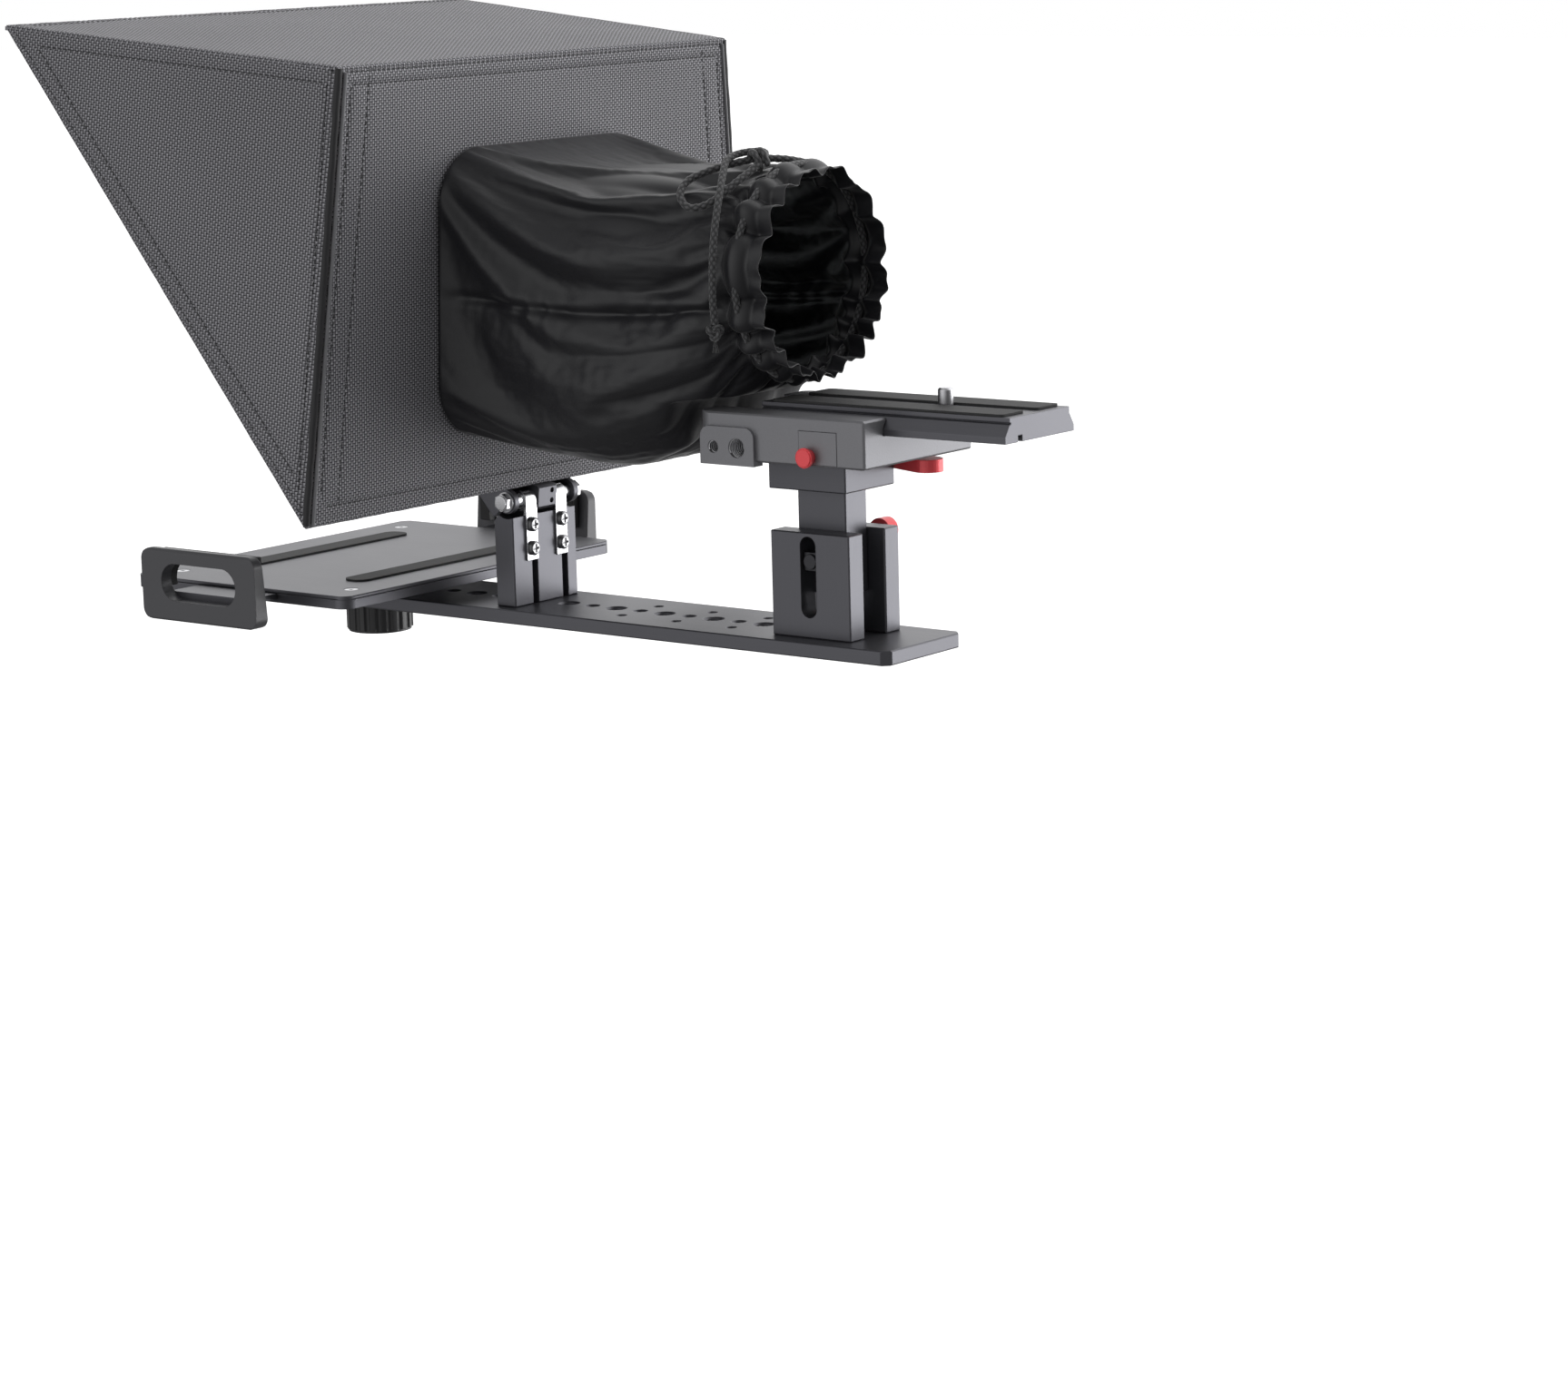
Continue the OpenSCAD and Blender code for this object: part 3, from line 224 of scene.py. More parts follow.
def braid_material(name, dark, light, strands, pitch):
    """Braided cord: UV x is the way along in metres, UV y is the way round from 0 to 1."""
    material, tree, bsdf = new_material(name)
    axes = node(tree, "SeparateXYZ", {0: node(tree, "TexCoord").outputs["UV"]})
    along = calc(tree, "MULTIPLY", axes.outputs[0], TURN / (pitch * MM))
    around = calc(tree, "MULTIPLY", axes.outputs[1], TURN * strands)
    waves = []
    for way in ("ADD", "SUBTRACT"):
        half = calc(tree, "MULTIPLY", calc(tree, way, along, around), 0.5)
        waves.append(calc(tree, "ABSOLUTE", calc(tree, "SINE", half)))
    top = calc(tree, "MULTIPLY", waves[0], waves[1])
    fuzz = noise(tree, object_place(tree), 2400.0, 2.0, 0.7)
    tone = calc(tree, "MULTIPLY", top, spread(tree, fuzz, 0.5, 1.4))
    tree.links.new(blend_colour(tree, tone, dark, light), bsdf.inputs["Base Color"])
    tree.links.new(spread(tree, fuzz, 0.5, 0.75), bsdf.inputs["Roughness"])
    add_relief(tree, bsdf, top, 0.00015, 0.8)
    set_constants(bsdf, Sheen_Weight=0.3)
    return material


def glass_material(name):
    """Half-silvered plate: clear, with a strong thin reflection and faint dust."""
    material, tree, bsdf = new_material(name)
    dust = noise(tree, object_place(tree), 900.0, 4.0, 0.8)
    tree.links.new(spread(tree, dust, 0.0, 0.05), bsdf.inputs["Roughness"])
    tint = blend_colour(tree, dust, (0.84, 0.9, 0.92), (0.9, 0.95, 0.96))
    tree.links.new(tint, bsdf.inputs["Base Color"])
    set_constants(bsdf, Transmission_Weight=1.0, IOR=2.1)
    return material


# ------------------------------------------------------------------ the materials

UPRIGHT, LEVEL = (1, 1, 0.02), (1, 0.02, 1)     # how the grain is drawn out
ANODISED = (0.118, 0.118, 0.131)
BRAID_STRANDS, BRAID_PITCH = 4, 3.2
# each look's edge gain sets how much lighter its edges are painted: a painted highlight, with a little wear
HARD_LOOKS = {
    "anodised_black": dict(name="anodised_upright", colour=ANODISED, metallic=0.8, roughness=0.4,
                           grain=2600, stretch=UPRIGHT, tone=0.12, change=0.07),
    "anodised_level": dict(name="anodised_level", colour=ANODISED, metallic=0.8, roughness=0.42,
                           grain=2200, stretch=LEVEL, tone=0.12, change=0.07),
    "cast_grey": dict(name="cast_coat", colour=(0.24, 0.24, 0.255), metallic=0.65, roughness=0.5,
                      grain=1500, tone=0.16, bump=0.00009, edge_wear_highlight_gain=1.35),
    "steel": dict(name="steel", colour=(0.56, 0.56, 0.58), metallic=1.0, roughness=0.28,
                  grain=1800, stretch=UPRIGHT, tone=0.08, edge_wear_highlight_gain=1.2),
    "bright_steel": dict(name="bright_steel", colour=(0.68, 0.68, 0.7), metallic=1.0, roughness=0.2,
                         grain=1500, stretch=UPRIGHT, tone=0.06, change=0.05, edge_wear_highlight_gain=1.1),
    "dark_steel": dict(name="dark_steel", colour=(0.05, 0.05, 0.055), metallic=0.9, roughness=0.35,
                       grain=1800, stretch=UPRIGHT),
    "screw_steel": dict(name="screw_steel", colour=(0.33, 0.33, 0.34), metallic=1.0, roughness=0.3,
                        grain=1800, stretch=UPRIGHT, edge_wear_highlight_gain=1.8),
    "red_anodised": dict(name="red_anodised", colour=(0.92, 0.085, 0.1), metallic=0.2, roughness=0.3,
                         grain=1800, change=0.06, edge_wear_highlight_gain=1.3),
    "grey_plastic": dict(name="grey_plastic", colour=(0.075, 0.075, 0.082), metallic=0.15, roughness=0.4,
                         grain=2400, tone=0.08, change=0.05, bump=0.00003, edge_wear_highlight_gain=1.5),
    "black_plastic": dict(name="black_plastic", colour=(0.022, 0.022, 0.024), metallic=0.0, roughness=0.42,
                          grain=2600, tone=0.15, change=0.07, bump=0.00004, edge_wear_highlight_gain=2.0),
    "rubber": dict(name="rubber", colour=(0.028, 0.028, 0.029), metallic=0.0, roughness=0.72,
                   grain=1700, tone=0.2, bump=0.00008, edge_wear_highlight_gain=1.4),
}
SATIN_LOOKS = {
    "hood_lining": dict(name="hood_lining", colour=(0.012, 0.012, 0.013), pitch=0.6, sheen=0.1,
                        roughness=0.75),
    "sleeve_nylon": dict(name="sleeve_satin", colour=(0.0115, 0.0115, 0.014), pitch=0.35, sheen=0.16,
                         roughness=0.42),
    "binding": dict(name="hood_binding", colour=(0.014, 0.014, 0.016), pitch=0.8, sheen=0.2, roughness=0.6),
    "piping": dict(name="hood_piping", colour=(0.16, 0.16, 0.17), pitch=0.8, sheen=0.3, roughness=0.5),
    "thread": dict(name="thread", colour=(0.05, 0.05, 0.053), pitch=0.4, sheen=0.2, roughness=0.6),
}
MATERIALS = {key: hard_material(**look) for key, look in HARD_LOOKS.items()}
MATERIALS.update({key: satin_material(**look) for key, look in SATIN_LOOKS.items()})
MATERIALS["hood_nylon"] = weave_material("hood_weave", thread=(0.5, 0.495, 0.53),
                                         gap=(0.0035, 0.0035, 0.0055), pitch=(1.35, 1.0), sheen=0.03)
MATERIALS["black_cord"] = braid_material("braided_cord", (0.006, 0.006, 0.007), (0.1, 0.1, 0.105),
                                         BRAID_STRANDS, BRAID_PITCH)
MATERIALS["beam_splitter"] = glass_material("beam_splitter")

LEVEL_NODES = ("base_plate", "riser_top_plate", "quick_release_plate", "tray_base", "tray_cover",
               "left_arm", "right_arm")
NODE_LOOKS = dict.fromkeys(LEVEL_NODES, "anodised_level")
NODE_LOOKS.update(lock_nut="dark_steel", lock_screw="dark_steel", strap_screws="screw_steel")
for part in frame["record"]["subparts"]:
    chosen = NODE_LOOKS.get(part["node"], part["material_slot"])
    for place in frame["nodes"][part["node"]].material_slots:
        place.material = MATERIALS[chosen]

# ------------------------------------------------------------------ mesh helpers


def finish_mesh(name, points, faces, uvs, materials, body, indices=None, sharp=50):
    """A mesh object from millimetre points. uvs gives one (u, v) in metres for each vertex."""
    mesh = bpy.data.meshes.new(name)
    mesh.from_pydata([Vector(p) * MM for p in points], [], faces)
    if indices is not None:
        mesh.polygons.foreach_set("material_index", indices)
    shaped = bmesh.new()
    shaped.from_mesh(mesh)
    bmesh.ops.recalc_face_normals(shaped, faces=shaped.faces)
    shaped.to_mesh(mesh)
    shaped.free()
    layer = mesh.uv_layers.new(name="UVMap")
    flat = np.array(uvs, float)[np.array([loop.vertex_index for loop in mesh.loops])]
    layer.data.foreach_set("uv", flat.astype(np.float32).ravel())
    mesh.shade_smooth()
    mesh.set_sharp_from_angle(angle=math.radians(sharp))
    for key in materials:
        mesh.materials.append(MATERIALS[key])
    made = bpy.data.objects.new(name, mesh)
    scene.collection.objects.link(made)
    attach(made, body)
    return made


def smooth_path(route, per_span):
    """Catmull-Rom points through the route."""
    route = [Vector(p) for p in route]
    made = []
    for i in range(len(route) - 1):
        p0, p1 = route[max(i - 1, 0)], route[i]
        p2, p3 = route[i + 1], route[min(i + 2, len(route) - 1)]
        for k in range(per_span):
            t = k / per_span
            made.append(0.5 * (2 * p1 + (p2 - p0) * t + (2 * p0 - 5 * p1 + 4 * p2 - p3) * t * t
                               + (3 * p1 - p0 - 3 * p2 + p3) * t ** 3))
    made.append(route[-1])
    return made


def path_headings(points, closed):
    count = len(points)
    if closed:
        return [(points[(i + 1) % count] - points[i - 1]).normalized() for i in range(count)]
    return [(points[min(i + 1, count - 1)] - points[max(i - 1, 0)]).normalized() for i in range(count)]


def tube_parts(points, radius, sides=12, closed=False, relief=None):
    """Vertices, faces and UVs of a tube along points. relief(along, around) scales the radius."""
    count = len(points)
    headings = path_headings(points, closed)
    side = headings[0].orthogonal().normalized()
    verts, uvs, run = [], [], 0.0
    for i, (point, heading) in enumerate(zip(points, headings)):
        side = (side - heading * side.dot(heading)).normalized()
        other = heading.cross(side)
        if i:
            run += (point - points[i - 1]).length
        for k in range(sides):
            around = k / sides
            size = radius * (relief(run, around) if relief else 1)
            verts.append(point + size * (math.cos(TURN * around) * side + math.sin(TURN * around) * other))
            uvs.append((run * MM, around))
    faces = []
    for i in range(count if closed else count - 1):
        a, b = i * sides, ((i + 1) % count) * sides
        faces += [(a + k, a + (k + 1) % sides, b + (k + 1) % sides, b + k) for k in range(sides)]
    if not closed:
        for first, heading, point, uv in ((0, -headings[0], points[0], 0.0),
                                          ((count - 1) * sides, headings[-1], points[-1], run)):
            verts.append(point + heading * radius * 0.5)
            uvs.append((uv * MM, 0.5))
            tip = len(verts) - 1
            faces += [(first + k, first + (k + 1) % sides, tip) for k in range(sides)]
    return verts, faces, uvs


def tube(name, points, radius, material, body, slot, round_uv=1.0, **options):
    verts, faces, uvs = tube_parts([Vector(p) for p in points], radius, **options)
    uvs = [(u, v * round_uv) for u, v in uvs]
    return finish_mesh(name, verts, faces, uvs, [material], body)


def joined_tubes(name, lines, radius, material, body, sides=6):
    """One mesh of many short tubes."""
    verts, faces, uvs = [], [], []
    for line in lines:
        v, f, u = tube_parts(line, radius, sides)
        base = len(verts)
        verts += v
        uvs += u
        faces += [tuple(base + i for i in face) for face in f]
    return finish_mesh(name, verts, faces, uvs, [material], body)


# ------------------------------------------------------------------ drawstring: the free cord

CORD_D, CORD_LENGTH = 3.0, 0.208              # millimetres, metres
TAIL_ROUTE = (
    (6, -75.8, 194.6), (-3, -71, 196.6), (-12, -64.5, 197), (-20, -58, 195.5), (-28, -52, 193),
    (-36, -48, 189.5), (-42, -49, 184.5), (-43.5, -54, 180), (-40.5, -59.5, 180.5), (-36, -64, 184),
    (-29, -67, 189), (-21, -68.7, 193.3), (-14.5, -69.5, 197.5), (-9.5, -66.5, 199.6),
    (-11.5, -61.5, 199.9), (-17, -58, 199), (-24, -58.5, 197), (-31, -62, 192), (-37.5, -65.5, 186),
    (-43, -68, 178.5), (-47, -69.5, 170), (-49, -70, 161), (-49.5, -70, 152), (-49, -69.5, 143),
    (-47.5, -69, 135))
KNOT_SIZE, KNOT_CORD_R, KNOT_DROP = 0.92, 1.15, 3.3
STRAY_ENDS = ((0, 0), (1.1, 0.3), (-0.9, 0.5), (0.4, -1.0), (-0.6, -0.8), (0.8, 0.9))
STRAY_R = 0.35
WRAP_CENTRE, WRAP_AXIS = Vector((-14.5, -67.5, 197)), Vector((-0.75, 0.62, -0.2)).normalized()
WRAP_R, WRAP_RISE, WRAP_TURNS = 3.6, 3.2, 1.6
STRING_Y, NECK_Z, STRING_R = -76.0, 151.5, 43.1


def braid(run, around):
    """How the strands of the cord stand out along and round it."""
    depth, middle = 0.16, 0.4
    turns = TURN * BRAID_STRANDS * around
    along = TURN * run / BRAID_PITCH
    return 1 + depth * (abs(math.sin((along + turns) / 2)) * abs(math.sin((along - turns) / 2)) - middle)


def overhand(centre, size, across, upward, count=110):
    """Closed line of a trefoil knot, flat across the two directions."""
    depth = across.cross(upward)
    made = []
    for i in range(count):
        t = TURN * i / count
        made.append(centre + size * ((math.sin(t) + 2 * math.sin(2 * t)) * across
                                     + (math.cos(t) - 2 * math.cos(2 * t)) * upward
                                     - 1.1 * math.sin(3 * t) * depth))
    return made


def cord_tube(name, points, radius, **options):
    return tube(name, points, radius, "black_cord", "head", "black_cord", relief=braid, **options)


tail_path = smooth_path(TAIL_ROUTE, 20)
tail = cord_tube("drawstring_cord", tail_path, CORD_D / 2 - 0.06, sides=16)
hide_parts("drawstring_tail")
knot_centre = Vector(TAIL_ROUTE[-1]) + Vector((0, 0, -KNOT_DROP))
knot_line = overhand(knot_centre, KNOT_SIZE, cam_right, cam_up)
knot = cord_tube("drawstring_knot_tied", knot_line, KNOT_CORD_R, closed=True)
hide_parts("drawstring_knot")
fray = [smooth_path([knot_centre + Vector((0, 0, -2)), knot_centre + Vector((dx * 0.5, dy * 0.5, -5)),
                     knot_centre + Vector((dx, dy, -8))], 4) for dx, dy in STRAY_ENDS]
fray_tuft = joined_tubes("drawstring_fray", fray, STRAY_R, "black_cord", "head")
wrap_side = WRAP_AXIS.orthogonal().normalized()
wrap_line = [WRAP_CENTRE + WRAP_AXIS * (t - 0.75) * WRAP_RISE + WRAP_R * (
    math.cos(TURN * t) * wrap_side + math.sin(TURN * t) * WRAP_AXIS.cross(wrap_side))
    for t in np.linspace(0, WRAP_TURNS, 50)]
wrap = cord_tube("drawstring_bow_wrap", wrap_line, CORD_D / 2 - 0.2)

ring_line = [Vector((STRING_R * math.cos(TURN * t), STRING_Y, NECK_Z + STRING_R * math.sin(TURN * t)))
             for t in np.linspace(0, 1, 240, endpoint=False)]
ring = cord_tube("drawstring_in_casing", ring_line, CORD_D / 2 - 0.1, closed=True)
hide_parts("drawstring")

# ------------------------------------------------------------------ hood panels

TILT_NOW = 5.6
HEAD = Matrix.Translation((0, 67.6, 51)) @ Matrix.Rotation(math.radians(TILT_NOW), 4, "X")
HOOD_Z, BACK_Y, FRONT_Y, LOW_Y, LOW_Z = 187.4, 6.7, 179.2, -1.5, 6.2
HALF_LOW, HALF_TOP, HALF_FRONT = 143.8, 122.8, 140.0
PANEL_T = 2.2
LEAN = math.atan2(BACK_Y - LOW_Y, HOOD_Z - LOW_Z)
RISE = math.hypot(BACK_Y - LOW_Y, HOOD_Z - LOW_Z)
BACK = HEAD @ Matrix.Translation((0, LOW_Y, LOW_Z)) @ Matrix.Rotation(math.pi / 2 - LEAN, 4, "X")
MOUTH_Y, MOUTH_W, MOUTH_H, MOUTH_R = 85.5, 133.0, 120.0, 24.0
HOLE_INSET = 6                                # the opening in the back panel, inside the sleeve's mouth
STITCH_PITCH, STITCH_R = 3.0, 0.23
SEAM_NEAR, SEAM_FAR = 7.0, 17.0
GROOVE_DEPTH, GROOVE_W = 0.34, 0.8
RIDGE_H, RIDGE_W, RIDGE_AWAY = 0.16, 1.3, 2.6
ROLL_DROP, ROLL_W = 0.75, 1.5
WAVE_H = 0.13
# how far in from the rim the rings of a panel's mesh lie, closest where the seams run
DEPTHS = [0, 0.5, 1.1, 1.9, 3.2, 4.6, 5.6, 6.3, 7, 7.7, 8.4, 9.6, 11.4, 13.4, 15.2, 16.3, 17, 17.7, 18.8]


def inset(corners, distance):
    made = []
    for i, corner in enumerate(corners):
        before = (corner - corners[i - 1]).normalized()
        after = (corners[(i + 1) % len(corners)] - corner).normalized()
        n0, n1 = Vector((-before.y, before.x)), Vector((-after.y, after.x))
        made.append(corner + (n0 + n1) * distance / (1 + n0.dot(n1)))
    return made


def seam_at(corners, edge, distance, trim=(0, 0)):
    """A line parallel to one edge, its ends trimmed in to the neighbouring edges."""
    moved = inset(corners, distance)
    a, b = moved[edge], moved[(edge + 1) % len(corners)]
    way = (b - a).normalized()
    return a + way * trim[0], b - way * trim[1]


def loop_points(corners, counts):
    made = []
    for i, count in enumerate(counts):
        a, b = corners[i], corners[(i + 1) % len(corners)]
        made += [a + (b - a) * k / count for k in range(count)]
    return made


def rounded_outline(width, height, radius, count):
    """count points, evenly spaced by length, starting at +x and going round by +y."""
    half_w, half_h, quarter_steps = width / 2, height / 2, 32
    centres = [(half_w - radius, half_h - radius), (-half_w + radius, half_h - radius),
               (-half_w + radius, -half_h + radius), (half_w - radius, -half_h + radius)]
    dense = [Vector((half_w, 0))]
    for quarter, (cx, cy) in enumerate(centres):
        for k in range(quarter_steps + 1):
            angle = (quarter + k / quarter_steps) * math.pi / 2
            dense.append(Vector((cx + radius * math.cos(angle), cy + radius * math.sin(angle))))
    dense.append(Vector((half_w, 0)))
    runs = np.concatenate([[0], np.cumsum([(b - a).length for a, b in zip(dense, dense[1:])])])
    wanted = np.linspace(0, runs[-1], count, endpoint=False)
    xs = np.interp(wanted, runs, [p.x for p in dense])
    ys = np.interp(wanted, runs, [p.y for p in dense])
    return [Vector(p) for p in zip(xs, ys)]


def rings_to_faces(rings, count, centre=False):
    faces = []
    for i in range(rings - 1):
        a, b = i * count, (i + 1) * count
        faces += [(a + k, a + (k + 1) % count, b + (k + 1) % count, b + k) for k in range(count)]
    if centre:
        last = (rings - 1) * count
        faces += [(last + k, last + (k + 1) % count, rings * count) for k in range(count)]
    return faces


def segment_distance(points, a, b):
    a, b = np.array(a, float), np.array(b, float)
    along = np.clip(((points - a) @ (b - a)) / ((b - a) @ (b - a)), 0, 1)
    return np.linalg.norm(points - a - along[:, None] * (b - a), axis=1)


def panel_height(points, corners, seams, troughs, seed, crown):
    """How far a panel's outside stands off its plane: soft crown, slow waves, sewn grooves, rolled rim."""
    phase = np.random.default_rng(seed).uniform(0, TURN, 6)
    x, y = points[:, 0], points[:, 1]
    edges = [segment_distance(points, corners[i - 1], corners[i]) for i in range(len(corners))]
    rim = np.min(edges, axis=0)
    waves = sum(np.sin(x / a + y / b + p) for a, b, p in
                ((31, 47, phase[0]), (-23, 38, phase[1]), (52, -29, phase[2]), (17, 90, phase[3])))
    height = crown * np.clip(rim / 45, 0, 1) + WAVE_H * waves * np.clip(rim / 12, 0, 1)
    for a, b in seams:
        away = segment_distance(points, a, b)
        height -= GROOVE_DEPTH * np.exp(-(away / GROOVE_W) ** 2)
        height += RIDGE_H * np.exp(-((away - RIDGE_AWAY) / RIDGE_W) ** 2)
    for a, b, drop, width in troughs:
        height -= drop * np.exp(-(segment_distance(points, a, b) / width) ** 2)
    height -= ROLL_DROP * np.clip(1 - rim / ROLL_W, 0, 1) ** 2
    return height


def stitch_lines(seams, matrix, height_at):
    """One short line for each stitch, dipping into the cloth at both ends."""
    lines = []
    dips = np.array((-0.1, 0.3, 0.3, -0.1))
    for a, b in seams:
        a, b = Vector(a), Vector(b)
        way = (b - a).normalized()
        for k in range(int((b - a).length / STITCH_PITCH)):
            start = a + way * (k + 0.18) * STITCH_PITCH
            spots = np.array([start + way * STITCH_PITCH * s for s in (0, 0.16, 0.5, 0.64)])
            lines.append([matrix @ Vector((p[0], p[1], z)) for p, z in zip(spots, height_at(spots) + dips)])
    return lines


def cloth_panel(name, cad_node, points, faces, corners, matrix, seams, seed, crown=0.5, troughs=()):
    """A stiffened panel, woven outside and lined inside, with its stitches."""
    def height_at(spots):
        return panel_height(spots, corners, seams, troughs, seed, crown)

    flat = np.array([(p[0], p[1]) for p in points], float)
    count = len(flat)
    outer = [matrix @ Vector((x, y, z)) for (x, y), z in zip(flat, height_at(flat))]
    inner = [matrix @ Vector((x, y, -PANEL_T)) for x, y in flat]
    used = {}
    for face in faces:
        for a, b in zip(face, face[1:] + face[:1]):
            used.setdefault(frozenset((a, b)), []).append((a, b))
    rim = [edges[0] for edges in used.values() if len(edges) == 1]
    every = list(faces) + [tuple(count + i for i in reversed(f)) for f in faces]
    every += [(a, b, count + b, count + a) for a, b in rim]
    indices = [0] * len(faces) + [1] * len(faces) + [0] * len(rim)
    uvs = np.vstack([flat, flat]) * MM
    panel = finish_mesh(name, outer + inner, every, uvs, ["hood_nylon", "hood_lining"], "head",
                        indices)
    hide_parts(cad_node)
    stitches = stitch_lines(seams, matrix, height_at)
    joined_tubes(name + "_stitches", stitches, STITCH_R, "thread", "head")


def add_back_panel():
    """The back panel, with the opening for the sleeve."""
    side_gap, top_gap, steps = 0.5, 0.4, 20
    low, high = HALF_LOW - side_gap, HALF_TOP - side_gap
    corners = [Vector(p) for p in ((-low, 0), (low, 0), (high, RISE - top_gap), (-high, RISE - top_gap))]
    loops = [loop_points(inset(corners, d), (150, 100, 130, 100)) for d in DEPTHS]
    outline = rounded_outline(MOUTH_W - 2 * HOLE_INSET, MOUTH_H - 2 * HOLE_INSET, MOUTH_R - HOLE_INSET, 1440)
    hole = [p + Vector((0, MOUTH_Y)) for p in outline]
    hole_angles = np.array([math.atan2(p.y - MOUTH_Y, p.x) for p in hole])
    last_loop, targets = loops[-1], []
    for p in last_loop:
        turn = math.atan2(p.y - MOUTH_Y, p.x)
        gap = np.abs((hole_angles - turn + math.pi) % TURN - math.pi)
        targets.append(hole[int(np.argmin(gap))])
    for k in range(1, steps + 1):
        loops.append([a + (b - a) * k / steps for a, b in zip(last_loop, targets)])
    points = [p for loop in loops for p in loop]
    seams = [seam_at(corners, 2, 1.8), seam_at(corners, 2, SEAM_NEAR),
             seam_at(corners, 1, SEAM_NEAR, (4, 0)), seam_at(corners, 1, SEAM_FAR, (-10, -14)),
             seam_at(corners, 3, SEAM_NEAR, (0, 4)), seam_at(corners, 3, SEAM_FAR, (-14, -10)),
             seam_at(corners, 0, SEAM_NEAR, (4, 4))]
    troughs = [(*seam_at(corners, edge, 1.4), 0.9, 1.1) for edge in (1, 3)]
    cloth_panel("hood_back_panel", "hood_back", points, rings_to_faces(len(loops), len(last_loop)), corners,
                BACK, seams, 11, 0.2, troughs)


def add_side_panel(side, label):
    """A triangle from the back panel's side edge to the front of the top panel."""
    top = Vector((side * HALF_TOP, BACK_Y, HOOD_Z))
    front = Vector((side * HALF_FRONT, FRONT_Y, HOOD_Z))
    low = Vector((side * HALF_LOW, LOW_Y, LOW_Z))
    across = (front - top).normalized()
    outward = across.cross(low - top).normalized()
    outward = outward if outward.x * side > 0 else -outward
    down = outward.cross(across).normalized()
    frame_matrix = Matrix((across, down, outward)).transposed().to_4x4()
    frame_matrix.translation = top
    far = low - top
    corners = [Vector((0, 0)), Vector(((front - top).length, 0)), Vector((far.dot(across), far.dot(down)))]
    top_edge, rear_edge = 0, 2
    if down.dot(far) <= 0:
        corners = [corners[0], corners[2], corners[1]]
        top_edge, rear_edge = 2, 0
    diagonal = 1
    lengths = [(corners[(i + 1) % 3] - corners[i]).length for i in range(3)]
    half_sum = sum(lengths) / 2
    inradius = math.sqrt(half_sum * math.prod(half_sum - n for n in lengths)) / half_sum
    steps = DEPTHS + list(np.linspace(20.5, inradius * 0.985, 20))
    counts = [110 if n < 200 else 140 for n in lengths]
    loops = [loop_points(inset(corners, d), counts) for d in steps]
    centre_point = sum(loops[-1], Vector((0, 0))) / len(loops[-1])
    points = [p for loop in loops for p in loop] + [centre_point]
    seams = [seam_at(corners, top_edge, SEAM_NEAR), seam_at(corners, diagonal, 8),
             seam_at(corners, rear_edge, 5.5), seam_at(corners, diagonal, 2.4)]
    troughs = [(*seam_at(corners, rear_edge, 2.6), 1.3, 2.0)]
    cloth_panel("hood_%s_panel" % label, "hood_" + label, points,
                rings_to_faces(len(loops), sum(counts), centre=True), corners, HEAD @ frame_matrix, seams,
                21 + side, 0.5, troughs)


def add_top_panel():
    """The top panel on a grid that is finer near its edges."""
    mean_half, mean_depth, depth = 131, 172, FRONT_Y - BACK_Y
    steps = np.unique(np.concatenate([[0.3, 0.9, 1.8, 3, 4.6, 6, 7, 8, 9.5, 12], np.linspace(15, 85, 26)]))
    near = steps[steps < 80]
    across = sorted({-1.0, 1.0} | {s * (1 - u / mean_half) for s in (-1, 1) for u in steps}
                    | set(np.linspace(-0.34, 0.34, 24)))
    along = sorted({0.0, 0.5, 1.0} | {u / mean_depth for u in near} | {1 - u / mean_depth for u in near})
    points = [Vector((a * (HALF_TOP + (HALF_FRONT - HALF_TOP) * b), b * depth))
              for b in along for a in across]
    row = len(across)
    faces = [(j * row + i, j * row + i + 1, (j + 1) * row + i + 1, (j + 1) * row + i)
             for j in range(len(along) - 1) for i in range(row - 1)]
    corners = [Vector(p) for p in ((-HALF_TOP, 0), (HALF_TOP, 0), (HALF_FRONT, depth), (-HALF_FRONT, depth))]
    seams = [seam_at(corners, 2, SEAM_NEAR), seam_at(corners, 2, 2.2)]
    matrix = HEAD @ Matrix.Translation((0, BACK_Y, HOOD_Z))
    cloth_panel("hood_top_panel", "hood_top", points, faces, corners, matrix, seams, 31, 0.9)


add_back_panel()
add_side_panel(-1, "left")
add_side_panel(1, "right")
add_top_panel()

# ------------------------------------------------------------------ folded edges and piping


def head_line(a, b, steps=120):
    a, b = Vector(a), Vector(b)
    return [HEAD @ (a + (b - a) * k / steps) for k in range(steps + 1)]


def cloth_relief(seed, depth):
    phase = np.random.default_rng(seed).uniform(0, TURN, 3)

    def relief(run, around):
        puckers = math.sin(run / 2.3 + phase[0]) * math.sin(TURN * around + phase[1])
        return 1 + depth * (puckers + 0.6 * math.sin(run / 5.1 + phase[2]))
    return relief


